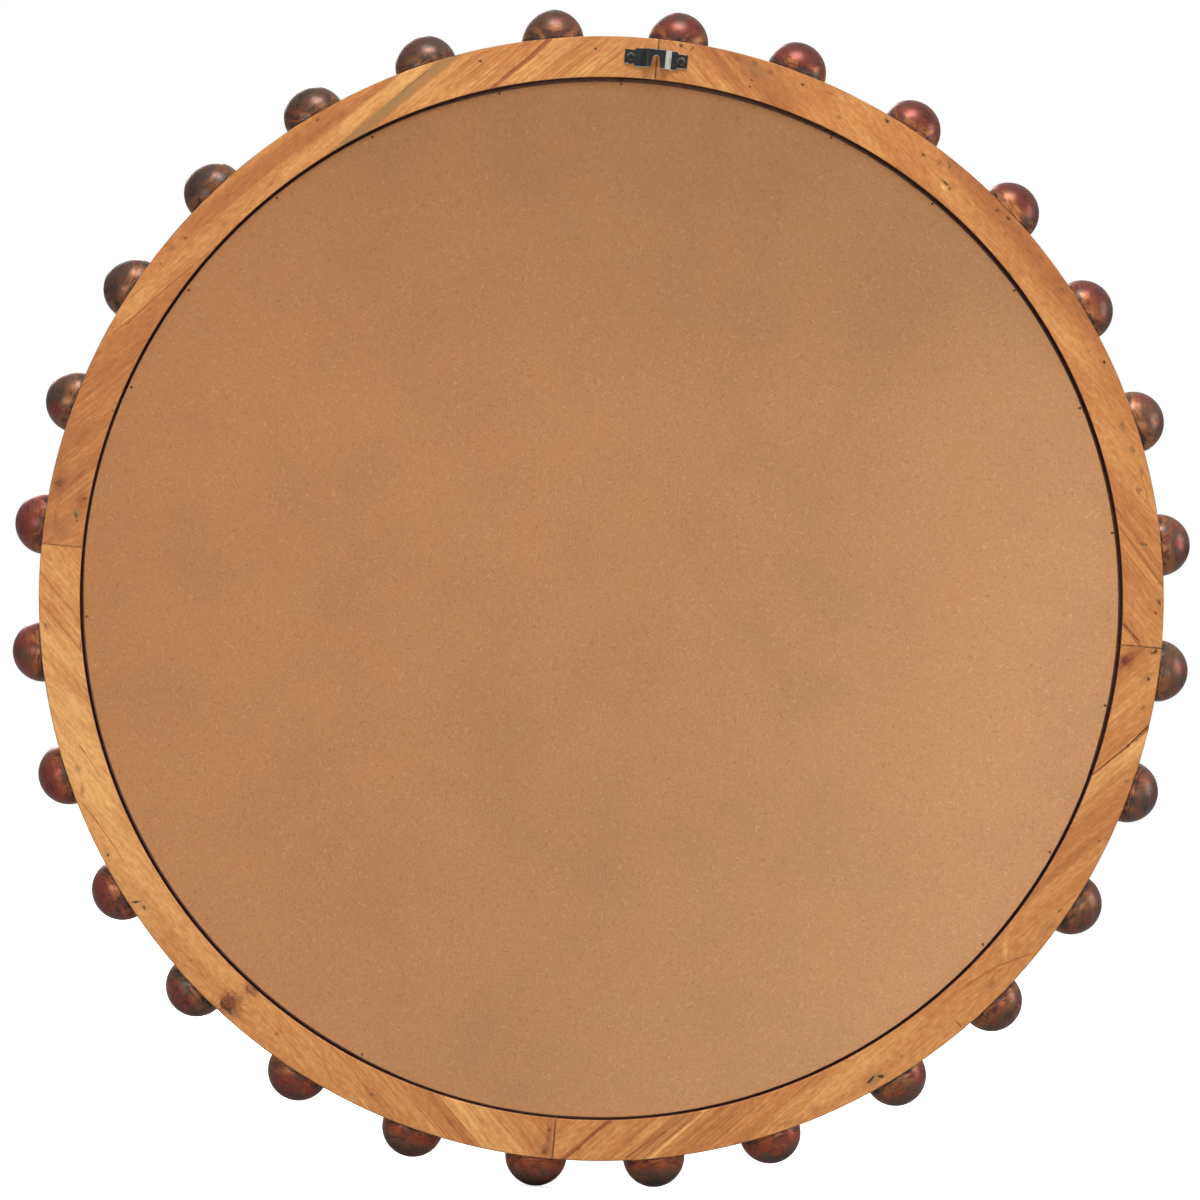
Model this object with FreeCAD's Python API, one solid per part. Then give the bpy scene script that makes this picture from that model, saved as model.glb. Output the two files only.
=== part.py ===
import FreeCAD, Part
import math
import os

# Round mirror in a beaded wooden ring, seen from behind in its photograph.
# Millimetres. +Z is up, the looking side faces -Y and the back faces +Y.
# The origin is where the wall hook carries it: the top of the hanger's notch,
# in the plane of the ring's back. Left and right are as seen from the front.
# A bearing is an angle in degrees round the ring, clockwise seen from behind,
# from the hanger. A depth is measured forwards from the ring's back.

os.makedirs("parts", exist_ok=True)
V = FreeCAD.Vector

# Ring
ring_diameter = 864.0
ring_thickness = 24.0
back_face_width = 31.4
lip_width = 12.5
sight_edge_round = 6.0
back_edge_ease = 0.8
segment_gap = 0.4
joint_bearings = (0.1, 89.3, 179.2, 269.8)
main_plank_width = 88.0
glue_gap = 0.5

# Glass, tape and board, laid in the rebate from the front lip backwards
glass_thickness = 4.0
glass_edge_gap = 1.6
tape_thickness = 1.0
tape_width = 25.0
tape_spacing = 160.0
tape_count = 4
tape_end_inset = 40.0
board_thickness = 5.0
board_recess = 3.0
board_edge_gap = 2.3
board_slip_down = 0.4
board_slip_right = 0.4

# Brads, driven slanting through the board's edge into the rebate wall
brad_bearings = (
    -3.6, 20.7, 34.2, 47.5, 62.5, 76.9, 96.2, 113.7,
    126.4, 201.9, 262.2, 288.4, 301.0, 315.2, 327.8, 342.8,
)
brad_diameter = 1.2
brad_head_diameter = 1.9
brad_head_length = 0.8
brad_length = 13.0
brad_inset = 2.6
brad_set = 0.3
brad_lean = 45.0
brad_fit = 0.05

# Beads, each notched over the ring's outer front edge
bead_count = 28
bead_diameter = 47.8
bead_overhang = 0.6
bead_back_inset = 0.5
bead_glue_gap = 0.2
planed_bead = 3
planed_bead_rise = 1.3
bead_first_bearing = 1.7
# Degrees by which each bead is off its even step
bead_strays_1_to_14 = [0.3, -0.1, 0.2, 0.5, 0.2, -0.1, -0.1, -0.1, -0.2, -0.2, -0.2, -0.6, 0.7, 0]
bead_strays_15_to_28 = [-0.8, -0.7, -0.5, 0.2, -0.2, 0, 0, 0.2, 0.2, 0.3, 0.3, 0.3, 0, 0.4]

# Dowels, in the ring's butt joints and under the beads
joint_dowel_diameter = 6.0
joint_dowel_length = 36.0
rear_dowel_wall_cover = 4.4
rear_dowel_back_cover = 4.0
front_dowel_sight_cover = 6.0
front_dowel_floor_cover = 2.5
bead_dowel_diameter = 6.0
bead_dowel_length = 22.0
bead_dowel_in_ring = 10.0
dowel_fit = 0.1
dowel_end_gap = 0.5

# Hanger plate
hanger_length = 48.5
hanger_ear_length = 8.85
hanger_ear_height = 11.2
hanger_body_height = 14.6
hanger_sheet = 1.4
hanger_step_run = 1.6
hanger_corner = 0.6
bridge_clear = 4.6
bridge_flat = 12.7
bridge_ramp_run = 4.85
bridge_bend_radius = 0.8
notch_top_width = 5.4
notch_mouth_width = 7.8
notch_land = 5.0

# Hanger screws
screw_end_inset = 4.95
screw_length = 9.5
screw_diameter = 2.9
screw_point_length = 3.0
screw_head_diameter = 6.3
screw_head_rim = 0.7
screw_head_height = 2.1
screw_recess_width = 0.9
screw_recess_span = 3.8
screw_recess_depth = 1.3
screw_hole_gap = 0.3
screw_pilot_fit = 0.05

# Every cutting solid runs past what it cuts by this much
overrun = 5.0

# Sizes that follow
ring_radius = ring_diameter / 2
rebate_radius = ring_radius - back_face_width
sight_radius = rebate_radius - lip_width
glass_depth = board_recess + board_thickness + tape_thickness
rebate_depth = glass_depth + glass_thickness
glass_radius = rebate_radius - glass_edge_gap
board_radius = rebate_radius - board_edge_gap
bead_radius = bead_diameter / 2
bead_depth = bead_back_inset + bead_radius
bead_circle_radius = ring_radius + bead_overhang
hanger_radius = (rebate_radius + ring_radius) / 2
hanger_body_length = hanger_length - 2 * hanger_ear_length
screw_spacing = hanger_length - 2 * screw_end_inset
notch_rise = hanger_body_height / 2 - notch_land
centre_z = -(hanger_radius + notch_rise)
centre = V(0, 0, centre_z)
back_axis = V(0, -1, 0)


def noon(radius, depth):
    """The point at bearing zero, this far from the ring's centre and back."""
    return V(0, -depth, centre_z + radius)


def turned(shape, bearing):
    """The shape carried round the ring from bearing zero."""
    copy = shape.copy()
    copy.rotate(centre, back_axis, bearing)
    return copy


def rod(start, end, radius):
    """A round rod between two points."""
    along = end - start
    return Part.makeCylinder(radius, along.Length, start, along)


def disc(radius, depth, thickness, middle=centre):
    """A flat round disc whose back lies at this depth."""
    start = V(middle.x, -depth, middle.z)
    return Part.makeCylinder(radius, thickness, start, V(0, -1, 0))


def outline(points, radii):
    """A closed wire through the points, each corner rounded by its radius."""
    count = len(points)
    starts, ends, arcs = [], [], []
    for k in range(count):
        corner = points[k]
        to_last = (points[k - 1] - corner).normalize()
        to_next = (points[(k + 1) % count] - corner).normalize()
        if radii[k] == 0:
            starts.append(corner)
            ends.append(corner)
            arcs.append(None)
            continue
        half = to_last.getAngle(to_next) / 2
        trim = radii[k] / math.tan(half)
        inward = (to_last + to_next).normalize()
        middle = corner + inward * (radii[k] / math.sin(half) - radii[k])
        starts.append(corner + to_last * trim)
        ends.append(corner + to_next * trim)
        arcs.append(middle)
    edges = []
    for k in range(count):
        if arcs[k] is not None:
            edges.append(Part.Arc(starts[k], arcs[k], ends[k]).toShape())
        following = starts[(k + 1) % count]
        edges.append(Part.LineSegment(ends[k], following).toShape())
    return Part.Wire(edges)


def save(shape, node):
    """Write one node as a STEP file."""
    shape.exportStep("parts/" + node + ".step")


def ring_section():
    """The ring's section: rebated at the back, its sight edge rounded in front."""
    points = [
        noon(rebate_radius, 0),
        noon(ring_radius - back_edge_ease, 0),
        noon(ring_radius, back_edge_ease),
        noon(ring_radius, ring_thickness),
        noon(sight_radius, ring_thickness),
        noon(sight_radius, rebate_depth),
        noon(rebate_radius, rebate_depth),
    ]
    radii = [0, 0, 0, 0, sight_edge_round, 0, 0]
    return Part.Face(outline(points, radii))


def ring_segment(number):
    """A quarter of the ring, from one butt joint to the next."""
    first = joint_bearings[number]
    last = joint_bearings[(number + 1) % len(joint_bearings)]
    gap_angle = math.degrees(segment_gap / ring_radius)
    sweep = (last - first) % 360 - gap_angle
    start = turned(ring_section(), first + gap_angle / 2)
    return start.revolve(centre, back_axis, sweep)


def segment_middle(number):
    """The bearing of the middle of a quarter."""
    first = joint_bearings[number]
    last = joint_bearings[(number + 1) % len(joint_bearings)]
    return first + (last - first) % 360 / 2


def beyond_line(distance, bearing):
    """All space further from the centre than a straight line across a quarter."""
    reach = ring_radius + overrun
    low = V(-reach, -(ring_thickness + overrun), centre_z + distance)
    block = Part.makeBox(2 * reach, ring_thickness + 2 * overrun, reach, low)
    return turned(block, bearing)


def bead_bearing(number):
    """The bearing of one bead: an even step, less or more by its stray."""
    strays = bead_strays_1_to_14 + bead_strays_15_to_28
    return bead_first_bearing + 360 / bead_count * number + strays[number % len(strays)]


def bead_placed(shape, number):
    """A shape at bearing zero carried to one bead's place."""
    return turned(shape, bead_bearing(number))


def bead_dowel(fit=0, end_gap=0):
    """The dowel from the ring's edge into a bead, at bearing zero."""
    root = ring_radius - bead_dowel_in_ring
    deep = noon(root - end_gap, ring_thickness / 2)
    far = noon(root + bead_dowel_length + end_gap, ring_thickness / 2)
    return rod(deep, far, bead_dowel_diameter / 2 + fit)


def bead(number):
    """One ball in its place, notched over the ring's edge and bored for its dowel."""
    rise = planed_bead_rise if number == planed_bead else 0
    middle = noon(bead_circle_radius, bead_depth - rise)
    # A slanted axis keeps the sphere's poles clear of the notch
    ball = Part.makeSphere(bead_radius, middle, V(0, -1, 1))
    ball = ball.cut(bead_dowel(dowel_fit, dowel_end_gap))
    notch = disc(
        ring_radius + bead_glue_gap,
        -overrun,
        ring_thickness + bead_glue_gap + overrun,
    )
    ball = bead_placed(ball, number).cut(notch)
    behind = disc(ring_radius + bead_diameter + overrun, -overrun, overrun)
    return ball.cut(behind)


def joint_dowels(fit=0, end_gap=0):
    """The rear and the front dowel across a butt joint, at bearing zero."""
    radius = joint_dowel_diameter / 2
    half = joint_dowel_length / 2 + end_gap
    places = [
        noon(
            rebate_radius + rear_dowel_wall_cover + radius,
            rear_dowel_back_cover + radius,
        ),
        noon(
            sight_radius + front_dowel_sight_cover + radius,
            rebate_depth + front_dowel_floor_cover + radius,
        ),
    ]
    return [rod(p - V(half, 0, 0), p + V(half, 0, 0), radius + fit) for p in places]


brad_slant = math.radians(brad_lean)
brad_way = V(0, -math.sin(brad_slant), math.cos(brad_slant))
brad_top = noon(board_radius - brad_inset, board_recess)


def brad(fit=0, above=0):
    """A brad at bearing zero: a thin shank under a small round head."""
    head_start = brad_top + brad_way * brad_set
    head_end = head_start + brad_way * brad_head_length
    point = head_start + brad_way * brad_length
    head_top = head_start - brad_way * above
    head = rod(head_top, head_end, brad_head_diameter / 2 + fit)
    return head.fuse(rod(head_start, point, brad_diameter / 2 + fit))


def hanger_profile():
    """The hanger seen from above: two flat ears and a raised bridge, as a solid."""
    ear_end = hanger_length / 2
    foot = bridge_flat / 2 + bridge_ramp_run
    top = bridge_flat / 2
    bend = math.atan2(bridge_clear, bridge_ramp_run)
    shift = hanger_sheet * math.tan(bend / 2)
    low = -(hanger_body_height / 2 + overrun)
    inner = bridge_bend_radius
    outer = bridge_bend_radius + hanger_sheet
    half = [
        (ear_end, 0, 0),
        (foot, 0, outer),
        (top, bridge_clear, inner),
    ]
    back = [
        (top + shift, bridge_clear + hanger_sheet, outer),
        (foot + shift, hanger_sheet, inner),
        (ear_end, hanger_sheet, 0),
    ]
    front_run = half + [(-x, y, r) for x, y, r in reversed(half)]
    back_run = [(-x, y, r) for x, y, r in reversed(back)] + back
    corners = front_run + back_run
    points = [V(x, y, low) for x, y, r in corners]
    face = Part.Face(outline(points, [r for x, y, r in corners]))
    return face.extrude(V(0, 0, hanger_body_height + 2 * overrun))


def hanger_outline():
    """The hanger seen from behind, as a tall prism: body, ears and stepped sides."""
    ear_end = hanger_length / 2
    body_end = hanger_body_length / 2
    step_end = body_end + hanger_step_run
    ear = hanger_ear_height / 2
    body = hanger_body_height / 2
    quarter = [(ear_end, ear), (step_end, ear), (body_end, body)]
    corners = (
        quarter
        + [(-x, z) for x, z in reversed(quarter)]
        + [(-x, -z) for x, z in quarter]
        + [(x, -z) for x, z in reversed(quarter)]
    )
    points = [V(x, -overrun, z) for x, z in corners]
    face = Part.Face(outline(points, [hanger_corner] * len(points)))
    return face.extrude(V(0, bridge_clear + hanger_sheet + 2 * overrun, 0))


def hanger_notch():
    """The notch for the wall hook: round at the top, wider at its mouth."""
    top = notch_top_width / 2
    mouth = notch_mouth_width / 2
    apex = notch_rise
    bottom = -hanger_body_height / 2
    below = bottom - overrun
    left = V(-top, -overrun, apex - top)
    right = V(top, -overrun, apex - top)
    edges = [
        Part.Arc(left, V(0, -overrun, apex), right).toShape(),
        Part.LineSegment(right, V(mouth, -overrun, bottom)).toShape(),
        Part.LineSegment(V(mouth, -overrun, bottom), V(mouth, -overrun, below)).toShape(),
        Part.LineSegment(V(mouth, -overrun, below), V(-mouth, -overrun, below)).toShape(),
        Part.LineSegment(V(-mouth, -overrun, below), V(-mouth, -overrun, bottom)).toShape(),
        Part.LineSegment(V(-mouth, -overrun, bottom), left).toShape(),
    ]
    face = Part.Face(Part.Wire(edges))
    return face.extrude(V(0, bridge_clear + hanger_sheet + 2 * overrun, 0))


def hanger():
    """The pressed steel hanger on the ring's back."""
    plate = hanger_profile().common(hanger_outline()).cut(hanger_notch())
    hole_radius = screw_diameter / 2 + screw_hole_gap
    for side in (-1, 1):
        x = side * screw_spacing / 2
        hole = rod(V(x, -overrun, 0), V(x, hanger_sheet + overrun, 0), hole_radius)
        plate = plate.cut(hole)
    plate.translate(V(0, 0, -notch_rise))
    return plate


def screw(x):
    """A round-headed wood screw through one ear of the hanger."""
    seat = V(x, hanger_sheet, -notch_rise)
    shank_length = screw_length - screw_point_length
    shank_end = seat - V(0, shank_length, 0)
    shank = rod(seat, shank_end, screw_diameter / 2)
    point = Part.makeCone(screw_diameter / 2, 0, screw_point_length, shank_end, V(0, -1, 0))
    rim = V(x + screw_head_diameter / 2, hanger_sheet, -notch_rise)
    shoulder = rim + V(0, screw_head_rim, 0)
    crown = seat + V(0, screw_head_height, 0)
    quarter_way = math.sqrt(0.5)
    side = shoulder - seat
    bulge = seat + V(
        side.x * quarter_way,
        screw_head_rim + (screw_head_height - screw_head_rim) * quarter_way,
        0,
    )
    edges = [
        Part.LineSegment(seat, rim).toShape(),
        Part.LineSegment(rim, shoulder).toShape(),
        Part.Arc(shoulder, bulge, crown).toShape(),
        Part.LineSegment(crown, seat).toShape(),
    ]
    head = Part.Face(Part.Wire(edges)).revolve(seat, V(0, 1, 0), 360)
    recess_floor = hanger_sheet + screw_head_height - screw_recess_depth
    for wide, tall in (
        (screw_recess_span, screw_recess_width),
        (screw_recess_width, screw_recess_span),
    ):
        low = V(x - wide / 2, recess_floor, -notch_rise - tall / 2)
        slot = Part.makeBox(wide, screw_recess_depth + overrun, tall, low)
        head = head.cut(slot)
    return head.fuse([shank, point]).removeSplitter()


def screw_pilot(x):
    """The hole that a hanger screw cuts in the ring."""
    seat = V(x, hanger_sheet, -notch_rise)
    end = seat - V(0, screw_length, 0)
    return rod(seat, end, screw_diameter / 2 + screw_pilot_fit)


def board():
    """The backing board, a little low and to one side in its rebate."""
    middle = centre + V(board_slip_right, 0, -board_slip_down)
    plate = disc(board_radius, board_recess, board_thickness, middle)
    cutters = [turned(brad(brad_fit, overrun), b) for b in brad_bearings]
    return plate.cut(cutters)


def tape_strips():
    """Double-sided tape between the board and the glass, in upright strips."""
    strips = []
    for k in range(tape_count):
        x = (k - (tape_count - 1) / 2) * tape_spacing
        edge = abs(x) + tape_width / 2
        half = math.sqrt(board_radius**2 - edge**2) - tape_end_inset
        low = V(x - tape_width / 2, -glass_depth, centre_z - half)
        strips.append(Part.makeBox(tape_width, tape_thickness, 2 * half, low))
    return strips


def drilled(segment):
    """A ring piece with the holes for its dowels, brads and screws."""
    bead_hole = bead_dowel(dowel_fit, dowel_end_gap)
    cutters = [bead_placed(bead_hole, k) for k in range(bead_count)]
    for bearing in joint_bearings:
        cutters += [turned(d, bearing) for d in joint_dowels(dowel_fit, dowel_end_gap)]
    cutters += [turned(brad(brad_fit), b) for b in brad_bearings]
    cutters += [screw_pilot(side * screw_spacing / 2) for side in (-1, 1)]
    for cutter in cutters:
        if cutter.BoundBox.intersect(segment.BoundBox):
            segment = segment.cut(cutter)
    return segment


def solids_by_bearing(shape, bearing):
    """The solids of a cut piece, in order round the ring from this bearing."""

    def turn(solid):
        off = solid.CenterOfMass - centre
        return (math.degrees(math.atan2(-off.x, off.z)) - bearing) % 360

    return sorted(shape.Solids, key=turn)


def ring_pieces():
    """The ring's planks: three quarters of one plank, and one of two glued planks."""
    save(drilled(ring_segment(0)), "ring_upper_left")
    save(drilled(ring_segment(2)), "ring_lower_right")
    save(drilled(ring_segment(3)), "ring_upper_right")
    line = ring_radius - main_plank_width
    middle = segment_middle(1)
    quarter = ring_segment(1)
    main = quarter.common(beyond_line(line, middle))
    tips = quarter.cut(beyond_line(line - glue_gap, middle))
    side_tip, bottom_tip = solids_by_bearing(tips, joint_bearings[1])
    save(drilled(main), "ring_lower_left_main")
    save(drilled(side_tip), "ring_lower_left_side_tip")
    save(drilled(bottom_tip), "ring_lower_left_bottom_tip")


def main():
    ring_pieces()
    for side, bearing in zip(("top", "left", "bottom", "right"), joint_bearings):
        pair = [turned(d, bearing) for d in joint_dowels()]
        save(Part.makeCompound(pair), "joint_dowels_" + side)
    save(disc(glass_radius, glass_depth, glass_thickness), "mirror_glass")
    save(Part.makeCompound(tape_strips()), "mirror_tape")
    save(board(), "backing_board")
    save(Part.makeCompound([turned(brad(), b) for b in brad_bearings]), "backing_brads")
    save(hanger(), "hanger_plate")
    save(screw(-screw_spacing / 2), "hanger_screw_left")
    save(screw(screw_spacing / 2), "hanger_screw_right")
    for k in range(bead_count):
        save(bead(k), "bead_%02d" % (k + 1))
    dowels = [bead_placed(bead_dowel(), k) for k in range(bead_count)]
    save(Part.makeCompound(dowels), "bead_dowels")


main()
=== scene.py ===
"""Dresses a round mirror: a pine ring edged with copper-coloured balls, seen from behind."""

import math

import bmesh
import bpy
import numpy as np
from bpy.props import FloatProperty, FloatVectorProperty, IntProperty, PointerProperty
from mathutils import Matrix, Vector


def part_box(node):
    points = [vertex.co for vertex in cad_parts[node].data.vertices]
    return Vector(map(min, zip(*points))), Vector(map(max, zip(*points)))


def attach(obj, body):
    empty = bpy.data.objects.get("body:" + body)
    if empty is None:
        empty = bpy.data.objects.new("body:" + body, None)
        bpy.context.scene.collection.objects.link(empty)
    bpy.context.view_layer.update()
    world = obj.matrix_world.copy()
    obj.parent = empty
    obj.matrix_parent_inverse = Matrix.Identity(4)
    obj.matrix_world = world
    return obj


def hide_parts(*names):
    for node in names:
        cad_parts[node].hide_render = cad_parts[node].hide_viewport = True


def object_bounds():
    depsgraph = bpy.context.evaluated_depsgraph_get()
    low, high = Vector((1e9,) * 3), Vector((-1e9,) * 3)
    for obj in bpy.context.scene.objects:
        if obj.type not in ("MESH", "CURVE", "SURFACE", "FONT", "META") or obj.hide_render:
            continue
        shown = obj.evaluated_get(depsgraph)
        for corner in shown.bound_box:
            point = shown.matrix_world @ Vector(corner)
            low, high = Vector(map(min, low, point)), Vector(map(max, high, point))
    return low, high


bl_info = {
    "name": "Round mirror with a beaded ring",
    "version": (1, 0, 0),
    "blender": (4, 5, 0),
    "location": "3D View > Sidebar > Mirror",
    "description": "Ring planks, balls, board, glass, hanger and studio of a round wall mirror",
    "category": "Object",
}

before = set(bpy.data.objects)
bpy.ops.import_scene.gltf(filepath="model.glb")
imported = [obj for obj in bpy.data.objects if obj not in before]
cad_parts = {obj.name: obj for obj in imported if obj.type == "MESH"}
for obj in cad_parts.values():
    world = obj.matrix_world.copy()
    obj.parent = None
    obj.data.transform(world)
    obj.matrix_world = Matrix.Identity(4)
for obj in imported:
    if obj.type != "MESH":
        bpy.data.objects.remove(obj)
CAD_BOX = [list(corner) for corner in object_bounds()]

# Lengths are metres, and MM turns millimetres into them. Left and right are as seen
# from the front. A bearing is clockwise in degrees, seen from behind, from the hanger.
# An inset is measured from the ring's outer edge towards its centre.
MM = 0.001
GLASS_LOW, GLASS_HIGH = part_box("mirror_glass")
GLASS_RADIUS = (GLASS_HIGH.x - GLASS_LOW.x) / 2
CENTRE_X = (GLASS_LOW.x + GLASS_HIGH.x) / 2
CENTRE_Z = (GLASS_LOW.z + GLASS_HIGH.z) / 2
RING_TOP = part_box("ring_upper_right")
BALLS = sorted(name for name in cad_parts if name[:5] == "bead_" and name[5:].isdigit())
# Bearings of the four butt joints, and how dark the glue shows in each
JOINTS = {"top": 0.1, "left": 89.3, "bottom": 179.2, "right": 269.8}
JOINT_DARKNESS = {"top": 0.85, "left": 0.85, "bottom": 1.0, "right": 0.5}
# Bearing and inset of the middle of the one ball that is planed flush with the ring's back
PLANED_BALL = (40.8, 5)
# Degrees over which a patch that holds near one bearing fades out
BEARING_FADE = 12
# Degrees between two faces: up to the first they are one flat face, past the second their
# edge is drawn sharp, and past the third it is rounded where a piece has rounded edges
FLAT_ANGLE, SHARP_ANGLE, EASED_ANGLE = 1, 30, 40
# The glued quarter: gap along its glue line, and degrees cut off its main plank's thin ends
GLUE_GAP, THIN_END = 0.03 * MM, 0.02


def srgb(red, green, blue):
    """A linear colour from the three numbers, 0 to 255, that a picture of it shows."""
    shares = np.array([red, green, blue]) / 255
    low = shares / 12.92
    high = ((shares + 0.055) / 1.055) ** 2.4
    return tuple(float(x) for x in np.where(shares <= 0.04045, low, high))


def length(name, about, default):
    """A length that a user may change, in metres."""
    return FloatProperty(name=name, description=about, default=default, unit="LENGTH", precision=4)


def paint(name, about, *shown):
    """A colour that a user may change."""
    return FloatVectorProperty(
        name=name, description=about, default=srgb(*shown), size=3, subtype="COLOR", min=0, max=1
    )


class MirrorSizes(bpy.types.PropertyGroup):
    """Sizes of the dressed pieces."""

    ring_radius: length("Ring radius", "Outer radius of the wooden ring", RING_TOP[1].z - CENTRE_Z)
    ring_depth: length("Ring depth", "Thickness of the ring, front to back", -RING_TOP[0].y)
    back_width: length("Back width", "Width of the ring's back, rebate to edge", 31.4 * MM)
    lip_width: length("Lip width", "How far the front lip covers the glass", 12.5 * MM)
    rebate_depth: length("Rebate depth", "Depth of the rebate from the back", -GLASS_LOW.y)
    sight_round: length("Sight round", "Radius of the lip's inner front edge", 6 * MM)
    outer_ease: length("Outer ease", "Rounding of the ring's outer arrises", 0.8 * MM)
    inner_ease: length("Inner ease", "Rounding of the rebate's arris", 0.35 * MM)
    metal_ease: length("Metal ease", "Rounding of the hanger's edges", 0.4 * MM)
    joint_gap: length("Joint gap", "Width of the four butt joints", 0.03 * MM)
    glue_line: length("Glue line", "Distance of the glue line from the centre", 345.6 * MM)
    grid: length("Grid", "Spacing of the points on the ring's back", 0.55 * MM)
    coarse: IntProperty(
        name="Coarse", description="Fine stations to one coarse one", default=6, min=1
    )


class MirrorColours(bpy.types.PropertyGroup):
    """Colours of the finishes."""

    pine: paint("Pine", "Clear-coated pine", 205, 134, 73)
    pine_pale: paint("Pale pine", "Straw-coloured sapwood", 241, 183, 112)
    pine_deep: paint("Deep pine", "Late growth and deeper bands", 164, 94, 49)
    pine_red: paint("Red pine", "Reddish heartwood and knots", 138, 66, 38)
    pine_grey: paint("Bruised pine", "Olive-grey stain in the wood", 160, 121, 74)
    pine_core: paint("Knot core", "Dark red heart of a knot", 128, 56, 40)
    pine_dark: paint("Wood marks", "Worm holes, cracks and pitch", 48, 30, 22)
    rebate: paint("Rebate", "Brown stain on the wall of the rebate", 138, 92, 72)
    copper_red: paint("Copper red", "Red-brown ground of the burnished finish", 138, 62, 51)
    copper_brown: paint("Copper brown", "Brown cloud over the ground", 114, 78, 61)
    copper_orange: paint("Copper orange", "Orange where it is rubbed", 178, 94, 44)
    # Copper gold also stands in for a painted reflection of the wood on the balls near the ring
    copper_gold: paint("Copper gold", "Gold, rubbed through near the ring", 200, 128, 66)
    # Red near the ring on the lowest balls, partly painted light on their lit side
    copper_red_and_light: paint("Copper ember", "Glowing red of the lowest balls", 166, 62, 32)
    copper_grey: paint("Copper grey", "Olive-grey smoke", 78, 72, 62)
    # Copper dark also serves as painted shade and painted shadow on the balls
    copper_dark: paint("Copper dark", "Nearly black brown in the low places", 42, 28, 26)
    board: paint("Board", "Fibreboard", 194, 139, 95)
    board_brown: paint("Brown board", "Darker clouds in the board", 187, 134, 92)
    board_pink: paint("Pink board", "Pinkish clouds in the board", 196, 138, 93)
    # Warm and cool tints of the board towards its upper right and its lower left
    board_warm: paint("Warm cast", "Browning of the board at its upper right", 255, 247, 232)
    board_cool: paint("Cool cast", "Fading of the board at its lower left", 243, 252, 255)
    board_dark: paint("Board shade", "Dark fibres in the board", 160, 106, 68)
    # Painted shadow along the board's edge, where the gap to the ring lies in shade
    board_gap_shadow: paint("Board rim", "Dark stain along the board's edge", 84, 56, 44)
    board_pale: paint("Board fibre", "Pale fibres in the board", 218, 168, 124)
    zinc: paint("Black zinc", "Black zinc plate", 18, 20, 22)
    # Bright steel also serves for the hanger's painted highlights and painted reflection
    steel: paint("Bright steel", "Steel where the plate is cut or rubbed", 206, 198, 178)
    brad: paint("Brad", "Dull wire", 122, 86, 62)
    silver: paint("Silvering", "Reflecting silver behind the glass", 240, 244, 243)
    backing_paint: paint("Backing paint", "Brown paint over the silvering", 172, 118, 94)
    tape: paint("Tape", "Foam tape", 222, 220, 214)
    beech: paint("Beech", "Dowels", 205, 165, 125)
    floor: paint("Floor", "Pale studio floor", 245, 245, 244)


def sizes():
    """The sizes as they are set now."""
    return bpy.context.scene.mirror_sizes


def colours():
    """The colours as they are set now."""
    return bpy.context.scene.mirror_colours


def linked(name, data):
    """A new object in the scene that holds the data."""
    made = bpy.data.objects.new(name, data)
    bpy.context.scene.collection.objects.link(made)
    return made


# Shader nodes


class Value:
    """What a shader node gives. Values add, subtract and multiply as numbers do."""

    def __init__(self, socket):
        self.socket = socket
        self.tree = socket.id_data

    def __add__(self, other):
        return maths("ADD", self, other)

    def __sub__(self, other):
        return maths("SUBTRACT", self, other)

    def __rsub__(self, other):
        return maths("SUBTRACT", other, self)

    def __mul__(self, other):
        return maths("MULTIPLY", self, other)

    def __abs__(self):
        return maths("ABSOLUTE", self)


def add(kind, inputs=None, output=0, tree=None, **settings):
    """The value of one new shader node, fed with plain values or with other nodes' values."""
    inputs = inputs or {}
    tree = tree or next(value.tree for value in inputs.values() if isinstance(value, Value))
    made = tree.nodes.new("ShaderNode" + kind)
    for key, value in settings.items():
        setattr(made, key, value)
    for key, value in inputs.items():
        if isinstance(value, Value):
            tree.links.new(value.socket, made.inputs[key])
        else:
            made.inputs[key].default_value = value
    return Value(made.outputs[output])


def maths(operation, first, second=0.0, clamp=False):
    """The result of one sum."""
    return add("Math", {0: first, 1: second}, operation=operation, use_clamp=clamp)


def smooth(value, low, high):
    """0 below low, 1 above high and a smooth step between; low may be above high."""
    inputs = {"Value": value, "From Min": low, "From Max": high}
    return add("MapRange", inputs, interpolation_type="SMOOTHSTEP")


def mixed(factor, first, second, blend_type="MIX"):
    """A colour between two colours."""
    first, second = (c if isinstance(c, Value) else (*c, 1.0) for c in (first, second))
    inputs = {0: factor, 6: first, 7: second}
    return add("Mix", inputs, 2, data_type="RGBA", blend_type=blend_type)


def layered(colour, *layers):
    """A colour with others laid over it in turn: each has a mask and the most that it covers."""
    for second, mask, share in layers:
        colour = mixed(maths("MULTIPLY", mask, share, clamp=True), colour, second)
    return colour


def noise(place, scale, detail=2.0, roughness=0.5, distortion=0.0):
    """Cloudy noise around one half; scale is features to a metre."""
    inputs = {
        "Vector": place, "Scale": scale, "Detail": detail,
        "Roughness": roughness, "Distortion": distortion,
    }
    return add("TexNoise", inputs, "Fac")


def stretched(place, along, across, deep):
    """A place whose three parts are scaled apart, so that noise on it runs in streaks."""
    return add("VectorMath", {0: place, 1: (along, across, deep)}, operation="MULTIPLY")


def bump(height, distance, strength):
    """A normal bent by a height."""
    return add("Bump", {"Height": height, "Distance": distance, "Strength": strength})


def attribute(place, name, output="Fac"):
    """A value that the mesh carries at its points."""
    return add("Attribute", None, output, place.tree, attribute_name=name)


def parts(vector):
    """The three parts of a place or direction."""
    first = add("SeparateXYZ", {0: vector})
    return [Value(socket) for socket in first.socket.node.outputs]


def size_of(first, second):
    """The length of the line whose two legs are given."""
    legs = add("CombineXYZ", {0: first, 1: second})
    return add("VectorMath", {0: legs}, "Value", operation="LENGTH")


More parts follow.
